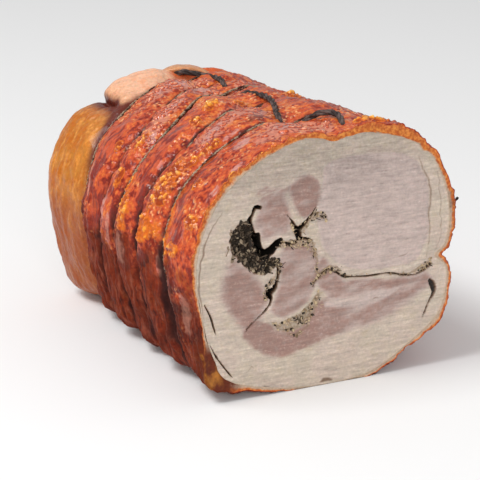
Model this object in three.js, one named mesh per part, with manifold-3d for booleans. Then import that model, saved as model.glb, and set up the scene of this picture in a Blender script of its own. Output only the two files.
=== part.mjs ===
// A porchetta: a boned pork loin and belly rolled in its rind round a herb filling, sewn along the top,
// tied with five loops of twine, roasted, and cut across at one end. Millimetres, +Z up. The roll lies
// along Y on the flat that its own weight gives it, with its cut face toward -Y.
import * as THREE from 'three';
import { mergeVertices } from 'three/addons/utils/BufferGeometryUtils.js';
import Module from 'manifold-3d';

const wasm = await Module();
wasm.setup();

// Driving dimensions
const LENGTH = 280; // from the cut face to the far end
const AXIS_HEIGHT = 90; // the line that the angles round the roll are measured about
const FAR_DOME = 30; // how far the rounded far end reaches past its shoulder
const DOME_POWER = 2.5; // 2 is an ellipse, more is blunter
const FURROW = 5; // how deep a loop of twine presses into the rind
const BULGE = 4; // how far the rind swells between two loops on the flanks; it stays flat on the top
const TOP_DROP = 8; // how much lower the top is at the far end than at the cut face
const END_BULGE = 8; // how far the uncut end swells past the last loop
const END_TOP_SHARE = 0.8; // the share of that which the top of the uncut end keeps
const CLEFT = { angle: 133, half: 7, depth: 12 }; // the dent between the two lobes of the uncut end
const NOTCH = { depth: 9, width: 12, height: 80 }; // where the two edges of the skin meet on the right
const FURROW_CLEARANCE = 4.2; // height of a furrow's floor under the roll
const TWINE = 2.4; // diameter of a loop's twine
const TWINE_LIFT = 2.4; // from a furrow's floor to the middle of its twine
const SEAM_CORD = 4.4; // diameter of the charred seam twine
const GAP = 0.3; // kept between pieces that touch
const FILLING_LENGTH = 236; // how deep the filling runs into the roll from the cut face
const FACETS = 60; // round the roll
const LAYER_CORNERS = 12; // round the ends of a length of the herb layer

const FACE_Y = -LENGTH / 2;
const SHOULDER_Y = LENGTH / 2 - FAR_DOME;

// The roll's outline at the cut face, as x and z, from the right side over the top
const OUTLINE = [
  [100, 90], [99, 118], [91, 143], [80, 161], [60, 174], [34, 181], [5, 177], [-25, 177],
  [-58, 163], [-84, 140], [-97, 112], [-100, 88], [-96, 58], [-90, 32], [-80, 12], [-44, 2],
  [-13, -1.5], [16, -1.5], [41, 3], [67, 17], [92, 36], [99, 60],
];

// Where each loop of twine crosses the roll, along Y, from the cut face back
const LOOPS = [
  { right: -78, top: -76, shoulder: -87, left: -87, bottom: -108 },
  { right: -24, top: -16, shoulder: -48, left: -45, bottom: -50 },
  { right: 22, top: 36, shoulder: -11, left: -8, bottom: -12 },
  { right: 52, top: 66, shoulder: 20, left: 20, bottom: 42 },
  { right: 88, top: 100, shoulder: 70, left: 58, bottom: 88 },
];
const LOOP_ANGLES = { right: 0, top: 90, shoulder: 135, left: 180, bottom: 270 };

// Where the stations between two loops lie, from the one furrow to the next
const BAND = [0, 0.1, 0.25, 0.5, 0.75, 0.9];
const NEAR_BAND = [0, 0.25, 0.5, 0.75, 0.9];
const FAR_BAND = [0, 0.14, 0.32, 0.6, 0.85];
const DOME_RINGS = 8;

// The herb layer in the cut face, as x, z and half its thickness, from the skin's edge inward
const FILLING_LINE = [
  [76, 71, 1], [50, 73, 1], [28, 73, 1], [12, 75, 1.2], [3, 82, 2], [-7, 75, 2], [-10, 63, 2.6],
  [-22, 50, 4], [-36, 48, 3], [-44, 61, 2.2], [-41, 76, 3.6], [-39, 91, 2.4], [-48, 102, 7],
  [-61, 108, 9], [-60, 121, 5], [-51, 131, 1.8],
];
// The short branch of the herb layer under the round muscle
const BRANCH_LINE = [[-44, 102, 5], [-34, 106, 3], [-23, 112, 4.5], [-11, 123, 1.6]];
// The open hollow in the herb layer, as x, z and radius, and how deep it goes
const HOLLOW = { x: -47, z: 102, radius: 6.5, depth: 24 };

// The middle of the seam twine from the far end forward: over the rind in three stitches, and under it between
const SEAM_LINE = [
  [-6, 118, 162], [-1, 110, 171], [4, 103, 174.5], [12, 96, 173.8], [20, 86, 173.6], [19, 68, 174.7],
  [16, 55, 171.5], [14, 46, 165], [13, 36, 160], [14, 26, 166], [16, 18, 173], [19, 2, 174.6],
  [17, -14, 175.7], [13, -32, 174.8], [5, -52, 174.6], [0, -64, 174], [0, -71, 169], [3, -77, 162],
  [9, -84, 168], [14, -90, 175.5], [18, -98, 177], [17, -115, 177.6], [15, -126, 176.5], [13, -133, 168],
];

// One closed curve through the outline's points, sampled evenly round the roll
const outlineCurve = new THREE.CatmullRomCurve3(
  OUTLINE.map(([x, z]) => new THREE.Vector3(x, 0, z)), true, 'centripetal');
outlineCurve.arcLengthDivisions = 600;

// Spokes from the roll's axis to its outline: their direction, length and angle
function makeSpoke(fraction) {
  const point = outlineCurve.getPointAt(fraction);
  const arm = new THREE.Vector2(point.x, point.z - AXIS_HEIGHT);
  const angle = (THREE.MathUtils.radToDeg(arm.angle()) + 360) % 360;
  return { angle, length: arm.length(), x: arm.x / arm.length(), z: arm.y / arm.length() };
}
const SPOKES = Array.from({ length: FACETS }, (_, i) => makeSpoke(i / FACETS));

// The place of a loop along Y at an angle, eased from one of its five crossings to the next
function loopPlace(loop, angle) {
  const names = Object.keys(LOOP_ANGLES);
  const next = names.findIndex((name) => LOOP_ANGLES[name] > angle);
  const to = names[next < 0 ? 0 : next];
  const from = names[next < 0 ? names.length - 1 : next - 1];
  const start = LOOP_ANGLES[from];
  const end = next < 0 ? 360 : LOOP_ANGLES[to];
  return THREE.MathUtils.lerp(loop[from], loop[to], THREE.MathUtils.smoothstep(angle, start, end));
}

// How far the rind swells between two loops along a spoke
function swell(spoke) {
  return BULGE * (1 - Math.max(spoke.z, 0));
}

// The dent between the end lobes, from 0 away from it to 1 in its middle
function cleftShare(angle) {
  return Math.exp(-(((angle - CLEFT.angle) / CLEFT.half) ** 2));
}

// The rings of the roll from the far end to the middle of the cut face. For a spoke, each gives its place
// along Y, its reach from the roll's axis, and the lowest that it may lie.
function makeRings() {
  const rings = [];
  const last = LOOPS.length - 1;
  const endRelief = (share, spoke) => {
    const full = END_BULGE * THREE.MathUtils.lerp(1, END_TOP_SHARE, Math.max(spoke.z, 0));
    return THREE.MathUtils.lerp(-FURROW, full, share) - CLEFT.depth * share * cleftShare(spoke.angle);
  };
  for (let i = 1; i <= DOME_RINGS; i += 1) {
    const turn = (i / DOME_RINGS) * (Math.PI / 2);
    const reach = Math.cos(turn) ** (2 / DOME_POWER);
    const share = Math.sin(turn) ** (2 / DOME_POWER);
    rings.push((spoke) => ({
      y: SHOULDER_Y + FAR_DOME * reach,
      length: (spoke.length + endRelief(1, spoke)) * share,
      floor: 0,
    }));
  }
  for (const t of FAR_BAND.slice().reverse()) {
    rings.push((spoke) => ({
      y: THREE.MathUtils.lerp(loopPlace(LOOPS[last], spoke.angle), SHOULDER_Y, t),
      length: spoke.length + endRelief(Math.sin((t * Math.PI) / 2), spoke),
      floor: t === 0 ? FURROW_CLEARANCE : 0,
    }));
  }
  for (let k = last; k > 0; k -= 1) {
    for (const t of BAND.slice().reverse()) {
      rings.push((spoke) => ({
        y: THREE.MathUtils.lerp(loopPlace(LOOPS[k - 1], spoke.angle), loopPlace(LOOPS[k], spoke.angle), t),
        length: spoke.length - FURROW + (FURROW + swell(spoke)) * Math.sin(t * Math.PI) ** 0.6,
        floor: t === 0 ? FURROW_CLEARANCE : 0,
      }));
    }
  }
  for (const t of NEAR_BAND.slice(0, -1).reverse()) {
    rings.push((spoke) => ({
      y: THREE.MathUtils.lerp(FACE_Y, loopPlace(LOOPS[0], spoke.angle), t),
      length: spoke.length + swell(spoke) * Math.sin(t * Math.PI) - FURROW * t ** 4,
      floor: 0,
    }));
  }
  for (const share of [0.6, 0.25]) {
    rings.push((spoke) => ({ y: FACE_Y, length: spoke.length * share, floor: 0 }));
  }
  return rings;
}
const RINGS = makeRings();

// The point of the roll's skin on a spoke of a ring, kept above the surface that the roll lies on
function skinPoint(ring, spoke) {
  const { y, length, floor } = ring(spoke);
  const share = (length / spoke.length) * Math.sqrt((y - FACE_Y) / LENGTH);
  const drop = TOP_DROP * share * Math.max(spoke.z, 0) ** 2;
  const z = AXIS_HEIGHT + spoke.z * length - drop;
  return new THREE.Vector3(spoke.x * length, y, Math.max(z, floor));
}

// A closed solid from a geometry: only positions, shared vertices merged, and no triangle without area
function toSolid(geometry) {
  const plain = new THREE.BufferGeometry();
  plain.setAttribute('position', geometry.getAttribute('position').clone());
  if (geometry.index) plain.setIndex(geometry.index.clone());
  const merged = mergeVertices(plain, 1e-4);
  const corners = [];
  for (let i = 0; i < merged.index.count; i += 3) {
    const [a, b, c] = [0, 1, 2].map((j) => merged.index.getX(i + j));
    if (a !== b && b !== c && c !== a) corners.push(a, b, c);
  }
  const mesh = new wasm.Mesh({
    numProp: 3,
    vertProperties: new Float32Array(merged.getAttribute('position').array),
    triVerts: new Uint32Array(corners),
  });
  return new wasm.Manifold(mesh);
}

function toGeometry(solid) {
  const mesh = solid.getMesh();
  const geometry = new THREE.BufferGeometry();
  geometry.setAttribute('position', new THREE.BufferAttribute(mesh.vertProperties, 3));
  geometry.setIndex(new THREE.BufferAttribute(mesh.triVerts, 1));
  return geometry;
}

function makePiece(name, geometry, color, roughness) {
  const mesh = new THREE.Mesh(geometry, new THREE.MeshStandardMaterial({ color, roughness, metalness: 0 }));
  mesh.name = name;
  return mesh;
}

// The roll before it is cut: a sphere whose rows of vertices are laid on the rings
function makeRollBlank() {
  const sphere = new THREE.SphereGeometry(1, FACETS, RINGS.length + 1);
  const position = sphere.getAttribute('position');
  const row = FACETS + 1;
  for (let i = 0; i < row; i += 1) {
    const spoke = SPOKES[(FACETS - i + FACETS / 2) % FACETS];
    position.setXYZ(i, 0, LENGTH / 2, AXIS_HEIGHT);
    RINGS.forEach((ring, j) => position.setXYZ((j + 1) * row + i, ...skinPoint(ring, spoke).toArray()));
    position.setXYZ((RINGS.length + 1) * row + i, 0, FACE_Y, AXIS_HEIGHT);
  }
  return sphere;
}

// A layer in the cut face, run back along Y: round-ended lengths, each tapering between two of its points
function makeLayer(line, grow, depth) {
  const lengths = line.slice(1).map((to, i) => makeLength(line[i], to, grow, depth));
  return lengths.reduce((all, one) => all.add(one));
}

function makeLength(from, to, grow, depth) {
  const along = Math.atan2(to[1] - from[1], to[0] - from[0]);
  const outline = [];
  for (let i = 0; i < LAYER_CORNERS; i += 1) {
    const turn = ((i + 0.5) / LAYER_CORNERS) * Math.PI * 2;
    const [x, z, half] = Math.cos(turn - along) > 0 ? to : from;
    outline.push(new THREE.Vector2(x + (half + grow) * Math.cos(turn), z + (half + grow) * Math.sin(turn)));
  }
  return toSolid(extrudeBack(new THREE.Shape(outline), depth));
}

// A shape drawn in x and z, extruded from just in front of the cut face to a depth behind it
function extrudeBack(shape, depth) {
  const geometry = new THREE.ExtrudeGeometry(shape, { depth, steps: 1, bevelEnabled: false, curveSegments: 8 });
  geometry.rotateX(Math.PI / 2);
  geometry.translate(0, FACE_Y + depth, 0);
  return geometry;
}

// The herb filling, or with some growth the slot that it lies in
function makeFilling(grow, depth) {
  return makeLayer(FILLING_LINE, grow, depth).add(makeLayer(BRANCH_LINE, grow, depth));
}

function makeHollow() {
  const circle = new THREE.Shape();
  circle.absarc(HOLLOW.x, HOLLOW.z, HOLLOW.radius, 0, Math.PI * 2);
  return toSolid(extrudeBack(circle, HOLLOW.depth));
}

// The groove where the two edges of the skin meet
function makeNotch() {
  const tip = OUTLINE[0][0] - NOTCH.depth;
  const out = OUTLINE[0][0] + 4 * BULGE;
  const flare = (NOTCH.width / 2 / NOTCH.depth) * (out - tip);
  const shape = new THREE.Shape([
    new THREE.Vector2(tip, NOTCH.height),
    new THREE.Vector2(out, NOTCH.height - flare),
    new THREE.Vector2(out, NOTCH.height + flare),
  ]);
  const geometry = extrudeBack(shape, LENGTH + 2 * BULGE);
  geometry.translate(0, -BULGE, 0);
  return toSolid(geometry);
}

// A round cord along the seam
function makeSeamCord(radius) {
  const points = SEAM_LINE.map((place) => new THREE.Vector3(...place));
  const path = new THREE.CatmullRomCurve3(points, false, 'centripetal');
  const circle = new THREE.Shape();
  circle.absarc(0, 0, radius, 0, Math.PI * 2);
  const steps = (SEAM_LINE.length - 1) * 2;
  return toSolid(new THREE.ExtrudeGeometry(circle, { steps, extrudePath: path, curveSegments: 4 }));
}

// One loop of twine: a torus whose rings are laid along its furrow's floor
function makeLoop(loop) {
  const sides = 6;
  const torus = new THREE.TorusGeometry(10, 1, sides, FACETS);
  const position = torus.getAttribute('position');
  for (let i = 0; i <= FACETS; i += 1) {
    const spoke = SPOKES[i % FACETS];
    const floor = skinPoint((s) => ({
      y: loopPlace(loop, s.angle), length: s.length - FURROW, floor: FURROW_CLEARANCE,
    }), spoke);
    for (let j = 0; j <= sides; j += 1) {
      const turn = (j / sides) * Math.PI * 2;
      const out = TWINE_LIFT + (TWINE / 2) * Math.cos(turn);
      const side = -(TWINE / 2) * Math.sin(turn);
      const place = [floor.x + spoke.x * out, floor.y + side, floor.z + spoke.z * out];
      position.setXYZ(j * (FACETS + 1) + i, ...place);
    }
  }
  return toSolid(torus);
}

const part = new THREE.Group();

const roll = toSolid(makeRollBlank())
  .subtract(makeFilling(GAP, FILLING_LENGTH + GAP))
  .subtract(makeHollow())
  .subtract(makeNotch())
  .subtract(makeSeamCord(SEAM_CORD / 2 + GAP));
part.add(makePiece('pork_roll', toGeometry(roll), 0xb4532a, 0.45));

const filling = makeFilling(0, FILLING_LENGTH).subtract(makeHollow());
part.add(makePiece('herb_filling', toGeometry(filling), 0x4a4632, 0.9));

LOOPS.forEach((loop, i) => {
  part.add(makePiece(`twine_loop_${i + 1}`, toGeometry(makeLoop(loop)), 0xb3a184, 0.85));
});

part.add(makePiece('seam_twine', toGeometry(makeSeamCord(SEAM_CORD / 2)), 0x3a2a22, 0.8));

export default part;
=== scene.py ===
import itertools
import math

import bpy
import numpy as np
from bpy.props import FloatProperty, FloatVectorProperty, IntProperty, PointerProperty
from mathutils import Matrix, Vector


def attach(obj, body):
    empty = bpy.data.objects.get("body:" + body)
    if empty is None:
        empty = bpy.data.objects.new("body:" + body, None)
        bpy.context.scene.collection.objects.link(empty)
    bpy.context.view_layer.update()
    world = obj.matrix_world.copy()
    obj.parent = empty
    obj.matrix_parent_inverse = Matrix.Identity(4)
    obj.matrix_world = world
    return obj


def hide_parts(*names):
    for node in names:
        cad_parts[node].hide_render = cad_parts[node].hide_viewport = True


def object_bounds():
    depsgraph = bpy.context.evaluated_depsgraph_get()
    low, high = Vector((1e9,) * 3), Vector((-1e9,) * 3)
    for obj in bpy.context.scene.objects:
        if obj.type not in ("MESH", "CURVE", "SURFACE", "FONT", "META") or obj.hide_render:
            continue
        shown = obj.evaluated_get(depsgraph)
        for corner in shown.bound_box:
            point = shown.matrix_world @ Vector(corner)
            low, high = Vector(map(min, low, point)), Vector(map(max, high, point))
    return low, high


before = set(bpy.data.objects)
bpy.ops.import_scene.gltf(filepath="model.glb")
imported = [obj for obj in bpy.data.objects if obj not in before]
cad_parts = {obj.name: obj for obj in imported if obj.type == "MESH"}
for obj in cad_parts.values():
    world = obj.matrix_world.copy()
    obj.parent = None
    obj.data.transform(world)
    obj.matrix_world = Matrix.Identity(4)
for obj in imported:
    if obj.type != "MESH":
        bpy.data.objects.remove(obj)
CAD_BOX = [list(corner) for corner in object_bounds()]

bl_info = {
    "name": "Porchetta",
    "version": (1, 0, 0),
    "blender": (4, 5, 0),
    "location": "View3D > Sidebar > Porchetta",
    "description": "Makes a tied, roasted porchetta with its crackling, cut face, herbs and twine",
    "category": "Add Mesh",
}

MM = 0.001
TURN = 2 * math.pi
SEED = 11

# The roll's place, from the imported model
LOW, HIGH = (Vector(corner) for corner in CAD_BOX)
FACE_Y = LOW.y
END_Y = HIGH.y
LENGTH = END_Y - FACE_Y
AXIS_HEIGHT = 90 * MM

# Places round the roll, in degrees from its right side over the top
SHOULDER = 45
NICK = 43
CLEFT = 133
SEEN_SIDE = 140
DRIP = 219
NOTCH = 354
# Painted shade on the side of the rind that faces down: it starts between the first two angles and ends
# between the last two.
UNDERSIDE_SHADE_FROM = (156, 200)
UNDERSIDE_SHADE_TO = (300, 330)

# The lengths of rind and meat that set how many points each mesh takes
ROLL_GIRTH = 600 * MM
END_GIRTH = 380 * MM
FACE_GIRTH = 400 * MM
FACE_REACH = 92 * MM
FIRST_BAND_WIDTH = 54 * MM
BAND_WIDTH = 42 * MM
END_SIDE = 30 * MM
END_DOME = 60 * MM

# The outline of the cut face, as x and z from the right side over the top
OUTLINE = MM * np.array([
    (100, 90), (99, 118), (91, 143), (80, 161), (60, 174), (34, 181), (16, 179), (4, 176), (-8, 178),
    (-25, 177.5), (-58, 163), (-84, 140), (-97, 112), (-100, 88), (-96, 58), (-90, 32), (-80, 12),
    (-44, 2), (-13, -1.5), (16, -1.5), (41, 3), (67, 17), (92, 36), (99, 60),
])

# Where each loop of twine crosses the roll along Y: at its right, top, left shoulder, left and bottom
LOOP_ANGLES = np.radians([0, 90, 135, 180, 270])
LOOPS = MM * np.array([
    (-78, -76, -87, -87, -108),
    (-24, -16, -48, -45, -50),
    (22, 36, -11, -8, -12),
    (52, 66, 20, 20, 42),
    (88, 100, 70, 58, 88),
])

# How far the middle of each loop's twine stands above the bottom of its furrow
TWINE_RISE = MM * np.array([1.8, 0.7, 3.0, 0.8, 2.0])

# The burnt end of the first loop's twine, on the right of the cut face
LOOSE_END = MM * np.array([
    (96, -112, 108), (98, -122, 111), (100, -130, 113), (102.5, -134, 116), (104.5, -136, 119.5),
])

# The middle of the strip of skin that has lifted beside the seam at the far end
FLAP = MM * np.array([(-10, 120, 170.5), (-2, 116, 173), (8, 112, 173.6), (20, 108, 172), (31, 104, 167.5)])

# The middle of the seam twine, from the far end forward
SEAM_LINE = MM * np.array([
    (-6, 118, 162), (-1, 110, 170.5), (4, 103, 173.5), (12, 96, 172.5), (20, 86, 171.5), (19, 68, 172.8),
    (16, 55, 170.5), (14, 46, 165), (13, 36, 160), (14, 26, 166), (16, 18, 172), (19, 2, 173.6),
    (17, -14, 175.4), (13, -32, 175.4), (5, -52, 174.8), (0, -64, 174), (0, -71, 169), (3, -78, 164),
    (9, -86, 172), (16, -93.5, 179), (22, -102, 181), (22, -112, 181), (19, -122, 179), (17, -130, 172),
    (16, -134, 164),
])

# The muscles in the cut face, as closed outlines in x and z
LOIN = MM * np.array([
    (-1, 156), (27, 160), (52, 158), (68, 152), (76, 138), (79, 118), (79, 96), (70, 80), (48, 77),
    (28, 78), (12, 84), (0, 94), (-6, 110), (-7, 124), (-4, 141),
])

# The deepest part of the hollow, and the patch that chopped herbs fill
HOLLOW_AREA = MM * np.array([
    (-57, 113), (-52, 115.5), (-50.5, 110), (-47, 104), (-42, 106), (-35, 109), (-35, 105), (-42, 99.5),
    (-47, 95), (-52, 98), (-55, 103), (-55.5, 108),
])

HERB_AREA = MM * np.array([
    (-73, 114), (-68, 121), (-62, 124), (-57, 120), (-56, 112), (-54, 103), (-50, 96), (-42, 96), (-38, 92),
    (-42, 88), (-50, 86), (-58, 89), (-66, 98), (-72, 107),
])

# The deep, dark gaps of the cut face: lines as x, z and half width in millimetres
CREVICES = [
    [(-50.5, 132, 1.2), (-54, 132.5, 1.5), (-56, 128, 0.9), (-58.5, 124, 1.7), (-56.5, 119, 1.2),
     (-55, 113, 1.6)],
    [(-38, 92, 0.6), (-37, 86, 0.8), (-38, 80, 1.1), (-40, 75, 2), (-43.5, 71.5, 2.4), (-42, 68, 1.1),
     (-44, 63, 0.7), (-49, 58, 0.55), (-57, 52, 0.3), (-62, 47, 0.15)],
    [(-31, 125, 0.2), (-27, 120, 0.6), (-24, 115, 1.4), (-22, 111, 2.4), (-22, 106, 1.7), (-28, 104, 0.7),
     (-35, 107, 0.9)],
    [(-22, 113, 2), (-17, 117, 1.5), (-12, 122, 0.8), (-9, 127, 0.3)],
    [(-22, 107, 1.3), (-15, 106, 0.6), (-11, 104, 0.2)],
]

# The other muscles, as closed outlines in x and z
ROUND_MUSCLE = MM * np.array([
    (-29, 140), (-23, 149), (-14, 150), (-6, 143), (-6, 133), (-10, 125), (-18, 121), (-25, 128),
])
UPPER_PIECE = MM * np.array([
    (-55, 124), (-51, 132), (-42, 139), (-34, 140), (-29, 127), (-28, 114), (-38, 110), (-48, 110),
    (-53, 117),
])
CENTRE_PIECE = MM * np.array([
    (-33, 103), (-21, 104), (-9, 100), (-6, 86), (-8, 73), (-15, 61), (-32, 53), (-43, 59), (-39, 70),
    (-36, 84), (-37, 94),
])
LEFT_MUSCLE = MM * np.array([
    (-76, 89), (-69, 98), (-56, 88), (-45, 73), (-48, 60), (-61, 50), (-72, 60), (-79, 76),
])
BELLY_BAND = MM * np.array([
    (-5, 60), (15, 58), (48, 64), (79, 67), (80, 58), (44, 40), (1, 34), (-33, 27), (-50, 32), (-62, 44),
    (-56, 54), (-44, 48), (-34, 42), (-18, 44),
])
UPPER_BAND = MM * np.array([
    (-2, 92), (10, 76), (30, 71), (70, 68), (79, 70), (78, 63), (40, 62), (8, 60), (-4, 68), (-8, 84),
])

# Each muscle, and how many widths of a soft edge it fades over outside and inside its outline
MUSCLES = (
    (LOIN, 1, 1), (ROUND_MUSCLE, 1.8, 2), (UPPER_PIECE, 2, 2.6), (CENTRE_PIECE, 1.8, 2),
    (LEFT_MUSCLE, 4, 4), (BELLY_BAND, 3.2, 3), (UPPER_BAND, 2, 2),
)

# Shallow cracks, brown stains, the streak of fat in the belly and the trails of crumbs, as lines
CRACKS = [
    [(-10, 72, 0.4), (-8, 76, 0.7), (-3, 80, 0.5), (2, 82, 0.4), (8, 79, 0.7), (14, 75, 0.5), (22, 74, 0.3),
     (34, 73, 0.5), (48, 73, 0.35), (60, 70, 0.5), (69, 69, 0.4), (76, 71, 0.8), (83, 75, 0.9)],
    [(-91, 71, 0.1), (-87, 63, 0.4), (-84.5, 55, 0.45), (-83, 49, 0.1)],
    [(-87, 42, 0.1), (-83, 34, 0.4), (-77, 25, 0.4), (-71, 17, 0.1)],
    [(82, 63, 1.2), (85, 59, 2.2), (86, 54, 1.6), (82, 47, 0.5), (80, 42, 0.7), (77, 36, 0.2)],
]

STAINS = [
    [(70, 154, 0.2), (74, 145, 0.5), (79, 130, 0.7), (80, 110, 0.6), (80, 92, 0.4), (78, 80, 0.2)],
    [(85, 140, 0.2), (89, 118, 0.4), (89, 96, 0.3), (86, 84, 0.2)],
    [(-4, 2, 0.6), (0, 3.5, 1.8), (5, 2.5, 0.8)],
    [(-92, 60, 0.1), (-94.5, 76, 0.6), (-95, 92, 0.7), (-91.5, 108, 0.7), (-86, 121, 0.5), (-78, 133, 0.1)],
    [(56, 84, 0.2), (60, 85, 0.5), (63, 87, 0.1)],
    [(-60, 18, 0.1), (-57, 21, 0.4), (-55, 20, 0.1)],
    [(36, 55.5, 0.1), (38, 56.5, 0.5), (40, 56, 0.1)],
]

FAT_STREAK = [(0, 57, 1.5), (12, 57, 3), (26, 57, 4), (40, 58, 3), (54, 61, 1.5)]
CRUMB_LINES = [
    [(-42, 50, 1), (-36, 47, 3), (-27, 47, 5), (-17, 51, 5), (-10, 58, 3.5), (-6, 66, 1.5)],
    [(-11, 73, 1.5), (-2, 81, 2.5), (6, 82, 2.5), (14, 76, 1), (34, 74, 0.4), (60, 71, 0.7),
     (76, 73, 2.6), (82, 78, 2.6)],
    [(-38, 104, 2), (-30, 104, 3), (-22, 104, 3.5), (-12, 102, 3), (-8, 92, 1.5), (-7, 80, 1.5)],
    [(-28, 118, 2), (-22, 113, 3.5), (-14, 119, 2.5), (-7, 122, 3), (-1, 118, 1.6)],
    [(-45, 92, 2.5), (-38, 94, 2.5), (-37, 86, 1.8), (-44, 78, 2), (-46, 68, 2)],
    [(-30, 41, 1), (-22, 40, 2), (-14, 45, 1.5)],
]


def length(name, description, value):
    return FloatProperty(name=name, description=description, default=value, unit="LENGTH")


class RoastShape(bpy.types.PropertyGroup):
    """Sizes of the roll, its crackling, its face and its twine."""

    furrow: length("Furrow depth", "How deep a loop of twine presses into the rind", 5.4 * MM)
    swell: length("Swell", "How far the rind swells between two loops", 4 * MM)
    end_swell: length("End swell", "How far the uncut end swells past the last loop", 7 * MM)
    top_drop: length("Top drop", "How much lower the top is at the far end", 8 * MM)
    shoulder_drop: length("Shoulder drop", "How far the right shoulder falls away behind", 8 * MM)
    rind: length("Rind thickness", "Thickness of the rind where it is cut", 5 * MM)
    puff: length("Puff size", "Size of the largest puffs of the crackling", 7 * MM)
    grain: length("Mesh spacing", "Distance between the rind's points", 0.62 * MM)
    twine: length("Twine diameter", "Diameter of a loop's twine", 2 * MM)
    seam_cord: length("Seam cord diameter", "Diameter of the charred cord along the top", 4.4 * MM)
    crumbs: IntProperty(name="Crumbs", description="Herb crumbs for each square centimetre of filling",
                        default=120, min=1)


def colour(name, description, value):
    return FloatVectorProperty(name=name, description=description, default=value, subtype="COLOR", size=3,
                               min=0, max=1)


class RoastColours(bpy.types.PropertyGroup):
    """Colours of the roast, as linear values."""

    red: colour("Rind red", "Smooth basted rind", (0.56, 0.08, 0.024))
    maroon: colour("Rind maroon", "Rind roasted dark", (0.24, 0.02, 0.010))
    mauve: colour("Rind mauve", "Pale waxy patches of the rind", (0.60, 0.27, 0.23))
    orange: colour("Rind orange", "Crisp orange rind", (0.74, 0.19, 0.04))
    gold: colour("Rind gold", "Puffed golden crackling", (0.90, 0.36, 0.035))
    furrow: colour("Furrow", "Purple-grey rind under the twine", (0.07, 0.018, 0.014))
    fat: colour("Fat", "Cooked fat of the cut face", (0.58, 0.465, 0.39))
    lean: colour("Lean meat", "Pale cooked loin", (0.52, 0.41, 0.37))
    rosy: colour("Rosy meat", "Darker, pinker cooked muscle", (0.33, 0.20, 0.165))
    herb: colour("Herbs", "Chopped dark herbs", (0.075, 0.05, 0.03))
    straw: colour("Straw", "Pale stalks and crumbs", (0.44, 0.34, 0.23))
    twine: colour("Twine", "Dry cotton twine", (0.37, 0.28, 0.19))
    char: colour("Char", "Charred seam cord", (0.038, 0.026, 0.024))


class RoastStage(bpy.types.PropertyGroup):
    """The floor, the lights and the camera."""

    azimuth: FloatProperty(name="Azimuth", description="Where the camera stands round the roll",
                           default=math.radians(-26), subtype="ANGLE")
    elevation: FloatProperty(name="Elevation", description="How high the camera looks down",
                             default=math.radians(17), subtype="ANGLE")
    distance: FloatProperty(name="Distance", description="From the camera to the point that it looks at",
                            default=1.2643, unit="LENGTH")
    lens: FloatProperty(name="Lens", description="Focal length in millimetres", default=127.5)
    floor: colour("Floor", "Plain pale floor", (0.9, 0.9, 0.9))
    ambient: FloatProperty(name="Ambient", description="Strength of the soft light all round", default=0.5)
    key: FloatProperty(name="Key light", description="Power of the large light over the left side",
                       default=95.0, unit="POWER")
    glint: FloatProperty(name="Glint light", description="Power of the small light that the rind reflects",
                         default=7.0, unit="POWER")
    fill: FloatProperty(name="Fill light", description="Power of the light before the cut face", default=68.0,
                        unit="POWER")


# --- Numbers that vary over space ---


def lattice(cells, seed):
    """A repeatable number from 0 to 1 for each whole-number cell."""
    n = cells.astype(np.int64)
    mixed = (n[..., 0] * 73856093) ^ (n[..., 1] * 19349663) ^ (n[..., 2] * 83492791) ^ (seed * 2654435761)
    for _ in range(2):
        mixed &= 0xFFFFFFFF
        mixed = (mixed ^ (mixed >> 16)) * 0x45D9F3B
    mixed &= 0xFFFFFFFF
    mixed ^= mixed >> 16
    return (mixed & 0xFFFFFF) / 0xFFFFFF


def noise(points, size, seed):
    """Smooth noise from -1 to 1 whose lumps are about size across."""
    scaled = points / size
    base = np.floor(scaled)
    part = scaled - base
    part = part * part * (3 - 2 * part)
    total = np.zeros(points.shape[:-1])
    for corner in itertools.product((0, 1), repeat=3):
        weight = np.prod(np.where(corner, part, 1 - part), axis=-1)
        total += weight * lattice(base + corner, seed)
    return 2 * total - 1


TILT = np.array(((0.8, 0.6, 0), (-0.48, 0.64, 0.6), (0.36, -0.48, 0.8)))


def fractal(points, size, seed, layers=3):
    """Noise with finer noise on it, from about -1 to 1."""
    total = np.zeros(points.shape[:-1])
    share = 1.0
    for layer in range(layers):
        total += share * noise(points, size, seed + layer)
        points = points @ TILT
        size = size / 2.1
        share = share / 2
    return total / 1.4


def bubbles(points, size, seed):
    """Round bumps scattered through space: their height, from 0 to 1, and a number for each bump."""
    scaled = points / size
    base = np.floor(scaled)
    best = np.zeros(points.shape[:-1])
    mark = np.zeros(points.shape[:-1])
    for corner in itertools.product((-1, 0, 1), repeat=3):
        cell = base + corner
        middle = np.stack([lattice(cell, seed + axis) for axis in range(3)], axis=-1)
        chance = lattice(cell, seed + 3)
        radius = 0.3 + 0.38 * chance
        away = np.sum((cell + middle - scaled) ** 2, axis=-1) / radius ** 2
        height = np.sqrt(np.clip(1 - away, 0, 1)) * (0.5 + 0.5 * chance)
        mark = np.where(height > best, chance, mark)
        best = np.maximum(best, height)
    return best, mark


def smoothstep(low, high, value):
    part = np.clip((value - low) / (high - low), 0, 1)
    return part * part * (3 - 2 * part)


def mix(a, b, share):
    return a + (b - a) * share


# --- Curves ---


def catmull(points, count, closed):
    """A smooth curve through points, sampled count times for each point."""
    points = np.asarray(points, float)
    if closed:
        around = np.concatenate([points[-1:], points, points[:2]])
    else:
        around = np.concatenate([2 * points[:1] - points[1:2], points, 2 * points[-1:] - points[-2:-1]])
    t = np.linspace(0, 1, count, endpoint=False)[:, None]
    pieces = []
    for a, b, c, d in zip(around, around[1:], around[2:], around[3:]):
        pieces.append(0.5 * (2 * b + (c - a) * t + (2 * a - 5 * b + 4 * c - d) * t ** 2
                             + (3 * b - a - 3 * c + d) * t ** 3))
    curve = np.concatenate(pieces)
    return curve if closed else np.concatenate([curve, points[-1:]])


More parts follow.
